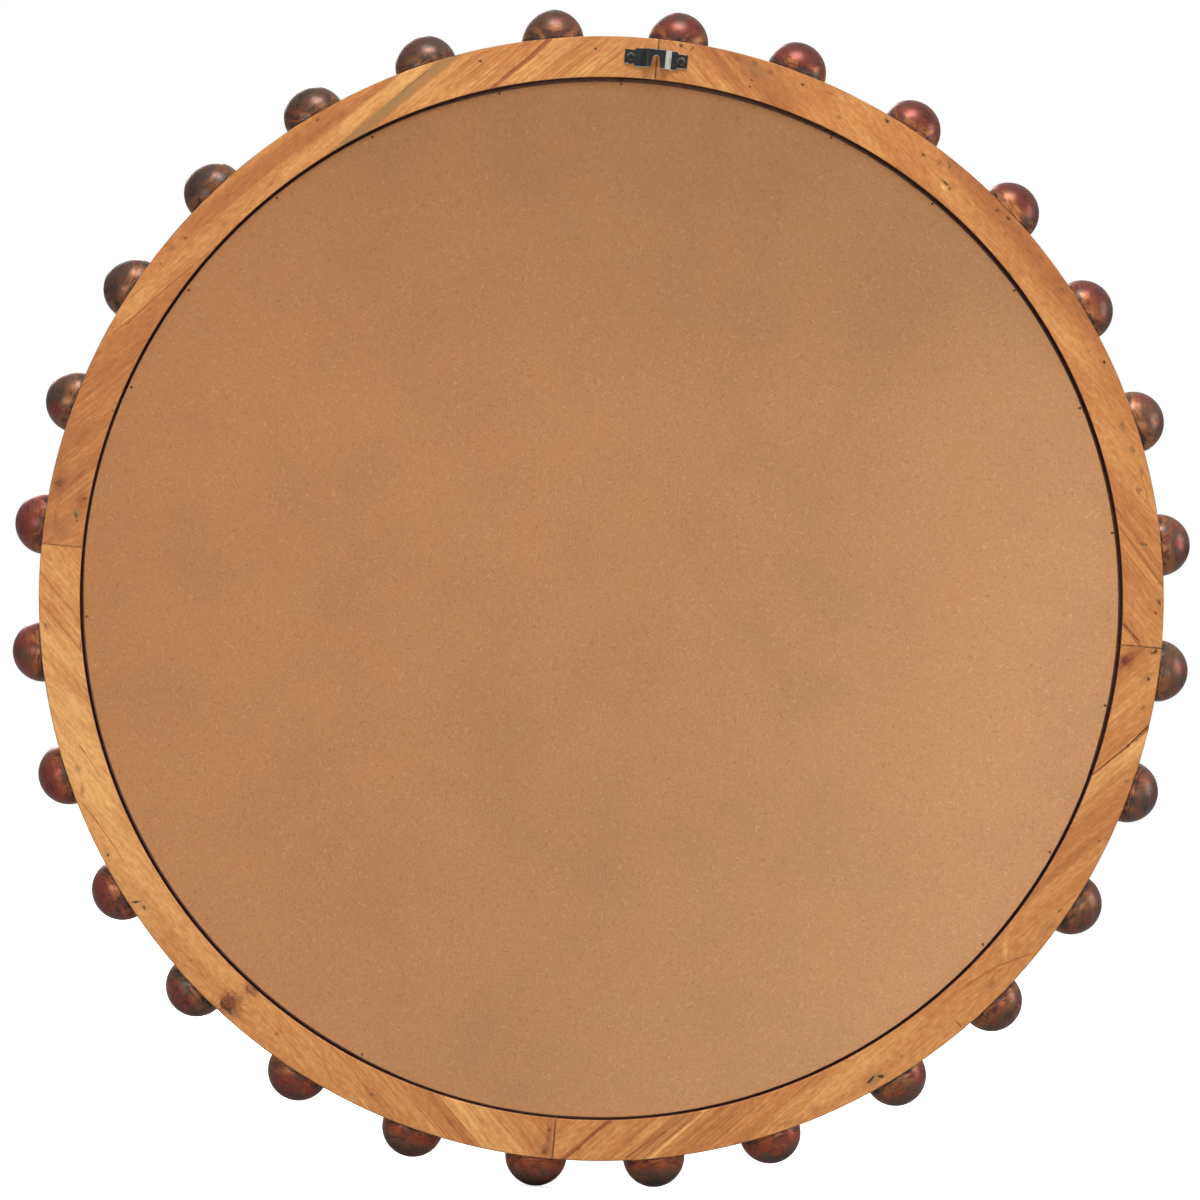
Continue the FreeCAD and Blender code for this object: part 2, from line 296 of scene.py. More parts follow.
def centred(place):
    """A place flattened onto the ring's plane and measured from the ring's axis."""
    moved = add("Mapping", {"Vector": place, "Location": (-CENTRE_X, 0, -CENTRE_Z)})
    return stretched(moved, 1, 0, 1)


def outward(place):
    """Distance of a place from the ring's axis."""
    return add("VectorMath", {0: centred(place)}, "Value", operation="LENGTH")


def near_bearing(place, bearing, half_width):
    """1 within a half width of a bearing, in degrees, and fading to 0 past it."""
    turn = math.radians(bearing)
    way = add("VectorMath", {0: centred(place)}, operation="NORMALIZE")
    inputs = {0: way, 1: (-math.sin(turn), 0, math.cos(turn))}
    share = add("VectorMath", inputs, "Value", operation="DOT_PRODUCT")
    far, near = math.radians(half_width + BEARING_FADE), math.radians(half_width)
    return smooth(share, math.cos(far), math.cos(near))


def streaked(place, out, along, across):
    """A place on which noise runs in streaks along the ring's edge.

    It is the place times a small scale, lifted by the distance from the axis times a
    large one."""
    lift = add("CombineXYZ", {1: out * across})
    inputs = {0: stretched(place, along, along, along), 1: lift}
    return add("VectorMath", inputs, operation="ADD")


def new_material(name):
    """An empty material, and the object's coordinates in it."""
    material = bpy.data.materials.new(name)
    material.use_nodes = True
    material.node_tree.nodes.clear()
    return material, add("TexCoord", None, "Object", material.node_tree)


def surfaced(material, inputs):
    """The material, closed with a shader whose sockets are set or linked by name."""
    tree = material.node_tree
    shader = add("BsdfPrincipled", inputs, tree=tree)
    tree.links.new(shader.socket, tree.nodes.new("ShaderNodeOutputMaterial").inputs[0])
    return material


def copper(place, out):
    """Burnished copper: red ground, brown clouds, smoke, rubbed orange and turning marks.

    Returns the colour and the height of its brushed coat."""
    c = colours()
    clouds = noise(streaked(place, out, 46, 60), 1, 5, 0.6, 0.5)
    smoke = noise(streaked(place, out, 84, 130), 1, 5, 0.66, 0.7)
    marks = noise(streaked(place, out, 120, 420), 1, 4, 0.7, 0.4)
    grit = noise(place, 1000, 3, 0.7)
    calm = near_bearing(place, 22, 26) * 0.8
    redder = maths("MAXIMUM", near_bearing(place, 252, 18), calm)
    smoky = maths("MAXIMUM", near_bearing(place, 98, 16) * 0.5, near_bearing(place, 312, 22) * 0.6)
    clouds = clouds - redder * 0.11 + smoky * 0.08
    smoke = smoke + smoky * 0.05
    patched = 1.0 - redder * 0.75
    rubbed = smooth(smoke, 0.45, 0.34) * patched
    smoked = smooth(smoke, 0.53, 0.62) * patched
    dusky = maths("MAXIMUM", calm, near_bearing(place, 318, 26))
    colour = layered(
        mixed(smooth(clouds, 0.4, 0.54), c.copper_red, c.copper_brown),
        (c.copper_orange, rubbed, 0.7),
        (c.copper_grey, smoked, 0.75),
        (c.copper_orange, smooth(marks, 0.4, 0.3), 0.5),
        (c.copper_dark, smooth(marks, 0.55, 0.67), 0.65),
        (c.copper_dark, smooth(grit, 0.58, 0.75), 0.5),
        (c.copper_dark, dusky, 0.32),
    )
    return colour, marks * 0.6 + grit * 0.3


# Wood figure: what the grain, knots, cracks and worm holes do at each point of the ring


def lattice(across, along, seed, size=256):
    """Smooth noise from -1 to 1: random heights at whole numbers, joined by smooth steps."""
    heights = np.random.default_rng(seed).uniform(-1, 1, (size, size))
    row, column = np.floor(across).astype(int), np.floor(along).astype(int)
    down, right = across - row, along - column
    down = down * down * (3 - 2 * down)
    right = right * right * (3 - 2 * right)
    row, column = row % size, column % size
    below, beside = (row + 1) % size, (column + 1) % size
    top = heights[row, column] * (1 - right) + heights[row, beside] * right
    low = heights[below, column] * (1 - right) + heights[below, beside] * right
    return top * (1 - down) + low * down


def step(values, low, high):
    """0 below low, 1 above high and smooth between; low may be above high."""
    share = np.clip((values - low) / (high - low), 0, 1)
    return share * share * (3 - 2 * share)


def hump(distance, width):
    """1 on a line or spot, falling off smoothly over its width."""
    return np.exp(-((distance / width) ** 2))


def spot(bearing, inset):
    """A place on the ring's back, right and up of its centre, as seen from behind."""
    radius = sizes().ring_radius - inset * MM
    turn = math.radians(bearing)
    return np.array([math.sin(turn), math.cos(turn)]) * radius


def turned(right, up, way):
    """The same place, measured along and across a direction."""
    along = right * math.cos(way) - up * math.sin(way)
    return along, right * math.sin(way) + up * math.cos(way)


def from_spot(right, up, bearing, inset, heading, half_long, half_wide):
    """Each point's place from a spot in half lengths along its heading and half widths across."""
    here = spot(bearing, inset)
    way = math.radians(bearing + heading)
    along, across = turned(right - here[0], up - here[1], way)
    return along / (half_long * MM), across / (half_wide * MM)


def lined_share(bearings):
    """How strongly the fine grain lines show at each bearing, fading over seven degrees."""
    share = np.full_like(bearings, 0.2)
    for first, last, strength in LINED:
        inside = step(bearings, first - 4, first + 3) * step(bearings, last + 4, last - 3)
        share = np.maximum(share, strength * inside)
    return share


def to_segment(right, up, start, end):
    """Distance of each point from a straight line, and how far along it the point lies."""
    way = end - start
    share = ((right - start[0]) * way[0] + (up - start[1]) * way[1]) / (way @ way)
    held = np.clip(share, 0, 1)
    gap = np.hypot(right - start[0] - held * way[0], up - start[1] - held * way[1])
    return gap, share


# Bands of the grain of each quarter: distance of the band's middle from the ring's centre
# and half its width in mm, then where along the chord it fades in and out in mm, then what
# it does: how much paler (+) or deeper (-), redder and greyer the wood is there
BANDS = {
    "upper_left": (
        (422, 8, -90, 110, -0.2, 0.25, 0), (402, 6, -90, 110, 0.22, 0, 0),
        (299, 0.9, 240, 330, -0.4, 0.5, 0), (352, 14, -330, -190, -0.22, 0.2, 0),
        (330, 4, -330, -230, -0.25, 0.25, 0), (376, 9, -180, -90, 0.22, 0, 0),
        (372, 10, 120, 260, 0.15, 0, 0), (341, 0.9, 200, 330, -0.3, 0.35, 0),
        (334, 0.8, 220, 330, -0.3, 0.35, 0), (347, 0.8, 190, 320, -0.2, 0.3, 0),
    ),
    "lower_left": (
        (296, 3, -330, -250, -0.2, 0.3, 0), (353, 6, -330, -180, 0.38, 0, 0),
        (374, 6, -250, -70, -0.12, 0.2, 0), (388, 3, -210, -50, -0.15, 0.22, 0),
        (404, 10, 20, 130, 0.2, 0, 0), (361, 1.4, 150, 270, -0.2, 0.3, 0),
        (353.5, 1.4, 175, 290, 0.45, 0, 0), (346, 5, 170, 290, -0.12, 0.1, 0.2),
        (337, 3, 190, 320, 0.3, 0, 0), (372, 5, 90, 230, -0.12, 0.22, 0),
        (318, 9, 240, 330, 0.1, 0, 0),
    ),
    "lower_right": (
        (327, 10.5, -330, -190, 0.42, 0, 0), (350, 9, -290, -150, -0.08, 0.12, 0),
        (376, 8, -240, -90, 0, 0.1, 0), (400, 40, 20, 330, 0.24, 0, 0),
        (345, 50, 120, 330, 0.2, 0, 0), (330, 1.2, 210, 330, -0.3, 0.25, 0),
        (322, 1.2, 210, 330, 0.35, 0, 0), (316, 1, 210, 330, -0.3, 0.25, 0),
    ),
    "upper_right": (
        (350, 46, -330, -60, -0.1, 0.22, 0), (403, 7, -150, 60, 0.38, 0, 0),
        (421, 6.5, -70, 80, -0.2, 0.25, 0), (415, 3, 40, 125, -0.15, 0.25, 0),
        (396.3, 4, 60, 185, -0.12, 0, 1), (407, 5, 70, 160, 0.4, 0, 0),
        (322, 14, 180, 330, 0.12, 0, 0), (368, 4, 110, 250, 0.2, 0, 0),
    ),
}

# Broad changes of tone round the ring: bearing, half width in degrees, how much paler
SHADES = (
    (39, 16, -0.27), (69, 12, -0.12), (159, 14, 0.14), (219, 16, 0.25), (249, 14, 0.2),
    (279, 12, -0.1), (309, 14, -0.12), (339, 13, 0.15),
)

# Stretches where fine grain lines show: first and last bearing, strength
LINED = (
    (-12, 12, 1.3), (74, 89, 1), (89, 113, 0.8), (113, 140, 0.35), (150, 179, 1.1), (181, 193, 2.2),
    (193, 212, 0.9), (240, 256, 0.6), (256, 273, 0.9), (273, 300, 1), (324, 338, 0.6),
    (338, 372, 1.3),
)

# Knots: bearing, inset, half length and half width in mm, redness
KNOTS = (
    (91, 28.2, 2, 1.8, 0.8), (216.8, 9.8, 5.2, 5.8, 1.7), (216, 29.6, 5, 3, 0.8),
    (276.2, 6.2, 2.2, 2.2, 0.6), (180.1, 5.8, 1.9, 1.7, 0.9), (305.1, 9.6, 1, 0.9, 0.9),
    (275.2, 28.4, 1, 0.7, 0.9),
)

# Soft smudges: bearing, inset, half length and half width in mm, heading in degrees from
# the ring's own direction, then paler, redder and greyer
SMUDGES = (
    (10.5, 9.5, 8, 4.5, 20, -0.3, 0.2, 0.5), (8.4, 5, 3, 1.6, 20, -0.3, 0.6, 0.2),
    (10.2, 5, 2.4, 1.4, 0, -0.5, 0.7, 0.2), (12, 7.6, 2.4, 1.6, 0, -0.3, 0.6, 0.1),
    (18.5, 6.2, 3.6, 0.8, 0, -0.2, 0.6, 0), (20.5, 19.8, 1.5, 1.2, 0, -0.6, 0.3, 0.3),
    (32, 8, 2, 2, 0, -0.35, 0.45, 0.1), (34, 20.9, 2.2, 1.1, 0, 0.9, 0, 0),
    (50.3, 6.6, 2, 1.8, 0, -0.4, 0.1, 0.6), (65.8, 10.7, 3.4, 2.4, 0, -0.5, 0.25, 0.6),
    (68.5, 8.8, 2.6, 2, 0, -0.4, 0.3, 0.5), (72.8, 11.4, 2.4, 1, 0, -0.3, 0.7, 0),
    (71, 6, 3, 1.2, 10, -0.2, 0.5, 0), (92.3, 10, 4, 3, 40, -0.2, 0.1, 0.4),
    (91, 25.6, 5.5, 4.5, 30, -0.3, 0.75, 0), (103.4, 5, 2.6, 1.6, 30, -0.2, 0, 0.5),
    (125.2, 21, 9, 1.6, -38, 0.45, 0, 0), (120.5, 6, 7, 3, 5, -0.2, 0.1, 0.3),
    (128.8, 10.8, 3, 1.8, 0, -0.3, 0.3, 0.3), (154.6, 5, 6, 2.6, 0, -0.3, 0.1, 0.3),
    (151.4, 6.5, 3.5, 3, 0, -0.25, 0, 0.3), (144.6, 8, 7, 4, -10, -0.2, 0, 0.4),
    (179.8, 15, 9, 2, 90, -0.3, 0.5, 0), (180.1, 6, 4.5, 4.5, 0, -0.2, 0.3, 0.2),
    (179.8, 22, 1.2, 1.2, 0, -0.3, 0.9, 0), (216.4, 17, 6.5, 4, 90, -0.1, 0.2, 0.2),
    (215.6, 7.6, 6, 1.6, 0, -0.4, 0.2, 0.4), (244, 7.6, 3.4, 1.6, 10, -0.4, 0.3, 0.3),
    (246.2, 9.6, 2.6, 1.4, 0, -0.3, 0.1, 0.4), (261.3, 5, 4, 1.8, -20, -0.3, 0, 0.6),
    (252.5, 20, 9, 5, -20, 0.4, 0, 0), (276.2, 6.2, 5, 4, 0, -0.3, 0.35, 0.2),
    (273.4, 24.8, 2.6, 2, -30, -1.3, 0, 1.3), (274.8, 25.4, 7, 4.6, 20, 0.25, 0.78, 0),
    (271.6, 12, 8, 12, 0, -0.15, 0.1, 0.3), (282, 14, 14, 8, 30, -0.15, 0.15, 0.1),
    (277.5, 5, 16, 6, 0, -0.15, 0.25, 0.1), (303.4, 6, 3.4, 3, 0, -0.2, 0.45, 0),
    (309, 24, 3, 1.2, 0, -0.3, 0, 0.4), (315.6, 25, 3.4, 1.6, 0, -0.3, 0.2, 0.2),
    (329, 7.2, 1.8, 1.2, 0, -0.4, 0, 0.5),
)

# Worm holes and pitch marks: bearing, inset, length and width in mm, heading in degrees
# from the ring's own direction, darkness
HOLES = (
    (353.6, 10, 2.3, 1.8, 20, 0.8), (2.4, 3.4, 2.8, 2.4, 10, 0.8), (3.6, 4.3, 5.6, 1.4, -58, 0.5),
    (2.9, 5.2, 1.4, 1, 0, 0.4), (10.3, 4.6, 2, 1.3, 0, 0.4), (10.4, 17.8, 1.8, 1.4, 0, 0.75),
    (10.4, 23, 1.8, 1.5, 0, 0.75), (15.6, 8.5, 2.3, 2, 0, 0.85), (25.1, 4.9, 4, 2.2, 20, 0.85),
    (30.2, 11.2, 3.2, 1.7, 20, 0.7), (33.1, 6, 3.6, 1.6, 70, 0.5), (32.8, 4.6, 2.6, 1.4, 20, 0.4),
    (33.9, 17.9, 6.4, 1.6, 4, 0.8), (34.6, 19.3, 2.4, 1.6, 50, 0.7), (39.8, 6.2, 2.8, 3.2, 0, 0.5),
    (41.2, 4.3, 4.2, 1.8, 0, 0.8), (42.1, 13.9, 1.6, 1.2, 0, 0.4), (50.3, 6.6, 2.4, 2, 0, 0.35),
    (57.3, 12.3, 1.8, 1.2, 0, 0.45), (59.1, 5.3, 3.3, 1.6, 0, 0.85),
    (65.8, 10.7, 3, 1.8, -20, 0.25), (68.7, 8.2, 3, 1.4, 30, 0.4), (72.8, 9.6, 2.6, 1.4, 0, 0.5),
    (78.6, 11.8, 2.2, 2.4, 0, 0.5), (78.5, 14.8, 3.4, 1.8, -50, 0.5), (82.7, 4, 3, 1, -60, 0.45),
    (84.6, 3.8, 4.4, 2.2, -25, 0.65), (85.7, 6.4, 3, 1.6, -30, 0.75), (92.6, 7.4, 2.6, 2.2, 0, 0.8),
    (95.6, 7.7, 4.2, 1.8, 35, 0.55), (89.7, 4.4, 5, 2.4, 30, 0.85), (89.9, 7.2, 2.4, 1.6, -40, 0.6),
    (103.4, 4.8, 2.6, 1, 40, 0.5), (110.2, 7, 1.6, 1.3, 0, 0.6), (118.5, 6.2, 4.6, 1.5, 10, 0.6),
    (134.2, 5.2, 7, 0.8, 85, 0.7), (140.9, 11.6, 2.2, 1.5, 80, 0.4),
    (143.9, 6.9, 5.4, 2.8, 28, 0.9), (145, 8.2, 8, 2, -20, 0.9), (159.5, 0.7, 2.4, 0.9, 20, 0.7),
    (199, 12.2, 3.2, 2, 20, 0.55), (200.6, 4.4, 2, 1.3, 0, 0.35), (210.9, 14.6, 2.4, 1.8, 30, 0.45),
    (222.8, 12, 1.8, 1.3, 0, 0.5), (222.8, 5.6, 1.6, 1.1, 0, 0.3), (230.1, 8.1, 3.4, 1.9, 10, 0.75),
    (231.1, 4.9, 6.4, 2, -62, 0.85), (231.8, 2.4, 1.3, 1, 0, 0.5), (230.9, 8.6, 1.6, 1, -40, 0.5),
    (236.7, 4.8, 3, 1.9, 20, 0.8), (261.4, 4.9, 2.4, 1.2, 0, 0.45), (259, 30.4, 4, 1, 0, 0.7),
    (323.5, 5, 3.2, 1.6, 0, 0.6), (341.5, 9, 2.5, 1.9, 20, 0.8), (301.4, 7, 2, 1.5, 0, 0.5),
    (285.2, 30.2, 1.6, 1, 0, 0.6), (286.2, 29.8, 1.6, 1, 0, 0.5), (284.6, 30.4, 1.4, 1, 0, 0.5),
    (273.2, 23.6, 4.4, 2.6, -30, 0.5), (272.6, 25.2, 3.2, 2.2, 20, 0.4),
    (347.6, 12.4, 1.1, 0.8, 0, 0.5), (216.3, 4.6, 9, 2.6, 0, 0.6), (217.2, 17.2, 3, 1, -40, 0.4),
    (218, 15, 3, 1, -60, 0.35), (215.8, 30.6, 4, 1.4, 0, 0.6),
)

# Cracks: bearing and inset of their two ends, width in mm and darkness
CRACKS = (
    ((87, 30.6), (88.8, 17.4), 0.5, 0.95), ((97.2, 0.2), (99.9, 12.2), 0.75, 0.95),
    ((97.6, 0.3), (99.5, 9), 0.45, 0.85), ((99.8, 11.6), (103.9, 31.2), 0.4, 0.6),
    ((247.5, 18.2), (248.5, 15.5), 0.4, 0.8), ((240.2, 9), (241.4, 6.6), 0.35, 0.6),
    ((332.8, 13.6), (336, 5.4), 0.35, 0.6),
)

# Lines of dark reddish wood: width in mm, redness, then bearing and inset of each point
VEINS = (
    (0.7, 1.1, (342, 31.2), (344.5, 21), (346.6, 12.6), (348.7, 0.8)),
    (0.7, 0.9, (342.4, 31.2), (344.9, 21), (347, 12.6), (349.1, 0.8)),
    (1.1, 1, (178.1, 0.4), (176.6, 10), (175, 21), (173.2, 31)),
    (0.4, 0.8, (178.4, 0.4), (173.6, 31)), (0.6, 0.8, (171.7, 2.6), (167.4, 20)),
    (0.5, 0.7, (170, 1), (163.3, 30)), (0.6, 0.25, (293, 1), (294.2, 10.8)),
    (0.6, 0.7, (294.2, 10.8), (297.4, 17), (301.6, 24.7)), (0.6, 0.6, (301.6, 24.7), (305.6, 30)),
    (0.6, 0.6, (123.8, 4), (125, 9.3)), (0.6, 0.7, (125, 9.3), (126.9, 16.5)),
    (0.6, 0.6, (126.9, 16.5), (130.7, 23.5)), (0.7, 0.25, (130.7, 23.5), (134, 25.3)),
    (0.7, 0.8, (99.9, 12.2), (103.9, 31.2)), (0.5, 0.4, (234.2, 13.5), (237.4, 12)),
    (0.5, 0.6, (237.4, 12), (240.1, 9)), (0.5, 0.5, (240.1, 9), (242.7, 3.5)),
    (0.5, 0.4, (244.6, 24), (247.5, 18.2)),
    (0.35, 0.45, (70.4, 5.4), (71.6, 7), (73, 5.2), (74.2, 7.2)),
    (0.5, 0.7, (272.2, 9), (273.4, 7.6)), (0.5, 0.7, (273.8, 8.2), (274.8, 10.4)),
    (0.6, 0.4, (274.2, 6.2), (279.4, 27)), (0.6, 0.3, (309.5, 15.8), (317.5, 15.6)),
    (0.5, 0.4, (287, 12), (290.5, 17)), (0.5, 0.3, (291.6, 11), (296, 17)),
)

# Seeds of the random lattices; the four quarters have 0 to 39, ten each
SMUDGE_EDGE, KNOT_EDGE, HOLE_EDGE, CRACK_WIDTH, VEIN_WIDTH, KNOT_RINGS = range(76, 82)
ARRIS_CHIPS, FINISH_EDGE, JOINT_BREAKS, ARRIS_PATCHES, ARRIS_SPECKS = range(91, 96)
# How strongly smudges and veins act on the tones, against what their tables say
SMUDGE_TONE, SMUDGE_RED, VEIN_TONE, VEIN_RED = 1.5, 1.3, 0.7, 1.3
# How far a band fades beyond its ends, and how deep a hole, a crack and a joint are
BAND_FADE, HOLE_DEPTH, CRACK_DEPTH, JOINT_DEPTH = 12 * MM, 0.8 * MM, 0.6 * MM, 0.4 * MM
# Half the width of the glue's line in a joint, and the size of the chips in the arris
GLUE_HALF, CHIP_SIZE = 0.55 * MM, 2.2 * MM


def wood_figure(quarter, middle, bearings, radii):
    """What the wood looks like at points of one quarter of the ring's back.

    The grain runs along the quarter's chord, so noise is stretched along it and bands lie
    at distances from the ring's centre. Returns the place along and across the grain, the
    paler, redder, greyer, marked and lined shares, and how deep the surface is sunk."""
    turn = np.radians(bearings)
    right, up = radii * np.sin(turn), radii * np.cos(turn)
    chord = math.radians(middle)
    along, across = turned(right, up, chord)
    seed = sorted(BANDS).index(quarter) * 10

    def cells(place, wide, long, number):
        """A lattice of this quarter, its cells so wide and so long in mm."""
        return lattice(place / (wide * MM), along / (long * MM), seed + number)

    bend = cells(across, 70, 160, 0) * 4 * MM
    bend = bend + cells(across, 18, 60, 1) * 0.9 * MM
    grain = across + bend
    broad, rings = cells(grain, 9, 190, 2), cells(grain, 2.6, 110, 3)
    fine, cloud = cells(grain, 1.2, 45, 4), cells(across, 5.5, 12, 7)
    patch = cells(across, 13, 34, 5)
    lined = lined_share(bearings) * (0.75 + 0.5 * cells(across, 9, 30, 8))
    paler = 0.2 * broad + 0.13 * patch + 0.09 * cloud
    paler = paler + lined * (0.16 * rings + 0.36 * np.minimum(fine, 0.2))
    redder = 0.1 + 0.12 * cells(grain, 15, 90, 6)
    redder = redder + 0.1 * cells(across, 8, 20, 9)
    greyer, marked, sunk = np.zeros((3, *paler.shape))
    for bearing, half, pale in SHADES:
        away = (bearings - bearing + 180) % 360 - 180
        paler = paler + pale * hump(away, half)
    for distance, half, start, end, pale, red, grey in BANDS[quarter]:
        edge = max(0.35 * half, 0.5) * MM
        inside = step(np.abs(grain - distance * MM), half * MM + edge, half * MM - edge)
        fade = step(along, start * MM - BAND_FADE, start * MM + BAND_FADE)
        fade = fade * step(along, end * MM + BAND_FADE, end * MM - BAND_FADE)
        paler = paler + pale * inside * fade
        redder = redder + red * inside * fade
        greyer = greyer + grey * inside * fade * (1 + 0.35 * fine + 0.25 * cloud)
    for bearing, inset, half_long, half_wide, heading, pale, red, grey in SMUDGES:
        u, w = from_spot(right, up, bearing, inset, heading, half_long, half_wide)
        ragged = 1 + 0.4 * lattice(u * 1.5 + bearing, w * 1.5, SMUDGE_EDGE)
        inside = hump(np.hypot(u, w) * ragged, 1.0)
        paler = paler + SMUDGE_TONE * pale * inside
        redder = redder + SMUDGE_RED * red * inside
        greyer = greyer + SMUDGE_TONE * grey * inside
    for bearing, inset, half_long, half_wide, red in KNOTS:
        here = spot(bearing, inset)
        side, rise = right - here[0], up - here[1]
        u, w = turned(side, rise, chord)
        u, w = u / (half_long * MM), w / (half_wide * MM)
        ragged = lattice(side / (1.6 * MM) + bearing, rise / (1.6 * MM), KNOT_EDGE)
        ring_of = np.hypot(u, w) * (1 + 0.4 * ragged)
        speckled = lattice(side / MM + bearing, rise / MM, KNOT_RINGS)
        uneven = 0.75 + 0.2 * np.cos(8 * ring_of) + 0.4 * speckled
        redder = redder + red * uneven * hump(ring_of, 1.5)
        paler = paler - 0.5 * red * hump(ring_of, 1.1)
        rim = (0.15 + 0.5 * step(w, -0.6, 0.8)) * min(red, 1.2) * hump(ring_of - 0.85, 0.26)
        marked = np.maximum(marked, rim)
        marked = np.maximum(marked, 0.15 * red * hump(ring_of, 0.8))
    for bearing, inset, long, wide, heading, dark in HOLES:
        u, w = from_spot(right, up, bearing, inset, heading, long / 2, wide / 2)
        ragged = 1 + 0.35 * lattice(u * 2 + bearing, w * 2, HOLE_EDGE)
        inside = step(np.hypot(u, w) * ragged, 1.25, 0.55)
        marked = np.maximum(marked, dark * inside)
        greyer = greyer + 0.5 * dark * hump(np.hypot(u, w), 2.0)
        sunk = np.maximum(sunk, HOLE_DEPTH * dark * inside)
    for start, end, width, dark in CRACKS:
        gap, share = to_segment(right, up, spot(*start), spot(*end))
        thick = width * MM * (1 + 0.5 * lattice(share * 14, share * 0 + width * 9, CRACK_WIDTH))
        inside = step(gap, thick, 0.3 * thick)
        marked = np.maximum(marked, dark * inside)
        sunk = np.maximum(sunk, CRACK_DEPTH * dark * inside)
    for width, red, *points in VEINS:
        for start, end in zip(points, points[1:]):
            gap, share = to_segment(right, up, spot(*start), spot(*end))
            uneven = lattice(share * 11, share * 0 + width * 9, VEIN_WIDTH)
            inside = red * hump(gap, width * MM * (1 + 0.3 * uneven))
            redder = np.maximum(redder, VEIN_RED * inside)
            paler = paler - VEIN_TONE * inside
    return {
        "along": along, "across": across, "paler": paler, "redder": redder,
        "greyer": greyer, "marked": marked, "lined": lined, "sunk": sunk,
    }


# Ring planks


def arris(radius, depth, size, start, end, count):
    """Points of a rounded arris in the section: radius and depth of each."""
    turns = np.radians(np.linspace(start, end, count))
    return np.stack([radius + size * np.cos(turns), depth + size * np.sin(turns)], 1)


def ring_section():
    """The ring's section as two runs of (radius, depth): the back finely, the rest coarsely.

    The back run goes from the rebate's wall over its arris, across the back and over the
    outer arris. The other goes on round the outside, the front and the rebate."""
    s = sizes()
    outer, inner = s.ring_radius, s.ring_radius - s.back_width
    ease, small = s.outer_ease, s.inner_ease
    count = int(round((s.back_width - ease - small) / s.grid))
    face = np.linspace(inner + small, outer - ease, count + 1)
    back = np.concatenate([
        [[inner, 3 * small]],
        arris(inner + small, small, small, 180, 240, 3),
        np.stack([face, face * 0], 1),
        arris(outer - ease, ease, ease, 300, 360, 4),
        [[outer, 2.4 * ease]],
    ])
    depth, rebate, sight, bend = s.ring_depth, s.rebate_depth, inner - s.lip_width, s.sight_round
    side = np.linspace(2.4 * ease, depth - ease, 8)[1:-1]
    front = np.linspace(outer - ease, sight + bend, 10)[1:-1]
    rest = np.concatenate([
        np.stack([side * 0 + outer, side], 1),
        arris(outer - ease, depth - ease, ease, 0, 90, 4),
        np.stack([front, front * 0 + depth], 1),
        arris(sight + bend, depth - bend, bend, 90, 180, 8),
        [[sight, rebate + 0.3 * (depth - rebate - bend)], [sight, rebate]],
        [[inner, rebate], [inner, 0.66 * rebate], [inner, 0.33 * rebate]],
    ])
    return back, rest


def weathered(figure, bearings, radii, flat):
    """Adds the joints, the darkened and chipped arrises and the finish to the back's figure.

    Returns how deep each point of the back lies."""
    s = sizes()
    outer, inner = s.ring_radius, s.ring_radius - s.back_width
    # The glue shows dark along a joint, and the arris there is a little broken
    for key, joint in JOINTS.items():
        side = np.radians((bearings - joint + 180) % 360 - 180) * radii
        broken = lattice(bearings * 0 + joint, radii / (4 * MM), JOINT_BREAKS)
        line = hump(side, GLUE_HALF) * np.clip(JOINT_DARKNESS[key] + 0.3 * broken, 0, 1)
        figure["marked"] = np.maximum(figure["marked"], line)
        figure["sunk"] = np.maximum(figure["sunk"], JOINT_DEPTH * line)
    # The outer arris is darkened in patches
    edge = lattice(bearings / 2.5, radii * 0 + 5, ARRIS_PATCHES)
    edge = edge + 0.5 * lattice(bearings / 0.6, radii * 0 + 9, ARRIS_SPECKS)
    dark_arris = step(radii, outer - 1.0 * MM, outer - 0.2 * MM) * np.clip(0.35 + 0.35 * edge, 0, 0.7)
    figure["marked"] = np.maximum(figure["marked"], dark_arris)
    # The rebate's arris is chipped here and there
    chips = lattice(bearings * 0 + 3, np.radians(bearings) * inner / CHIP_SIZE, ARRIS_CHIPS)
    chips = np.clip(chips - 0.62, 0, 1) * CHIP_SIZE
    near = step(radii, inner + 1.4 * MM, inner + 0.3 * MM)
    lies_back = step(flat, 2.5 * s.inner_ease, 1.0 * s.inner_ease)
    depths = flat + figure["sunk"] + chips * near * lies_back
    # Copper covers the edge and the front, and brown stain the wall of the rebate
    wavy = depths + 0.25 * MM * lattice(bearings * 3, radii * 0, FINISH_EDGE)
    finish = step(wavy, 0.5 * s.outer_ease, 1.5 * s.outer_ease)
    finish = finish * step(radii, inner + 3 * MM, inner + 4 * MM)
    figure["finish"] = finish * (figure["sunk"] < 0.05 * MM)
    wall = step(flat, 0.4 * s.inner_ease, 2.0 * s.inner_ease)
    figure["wall"] = wall * step(radii, inner + 1 * MM, inner)
    return depths


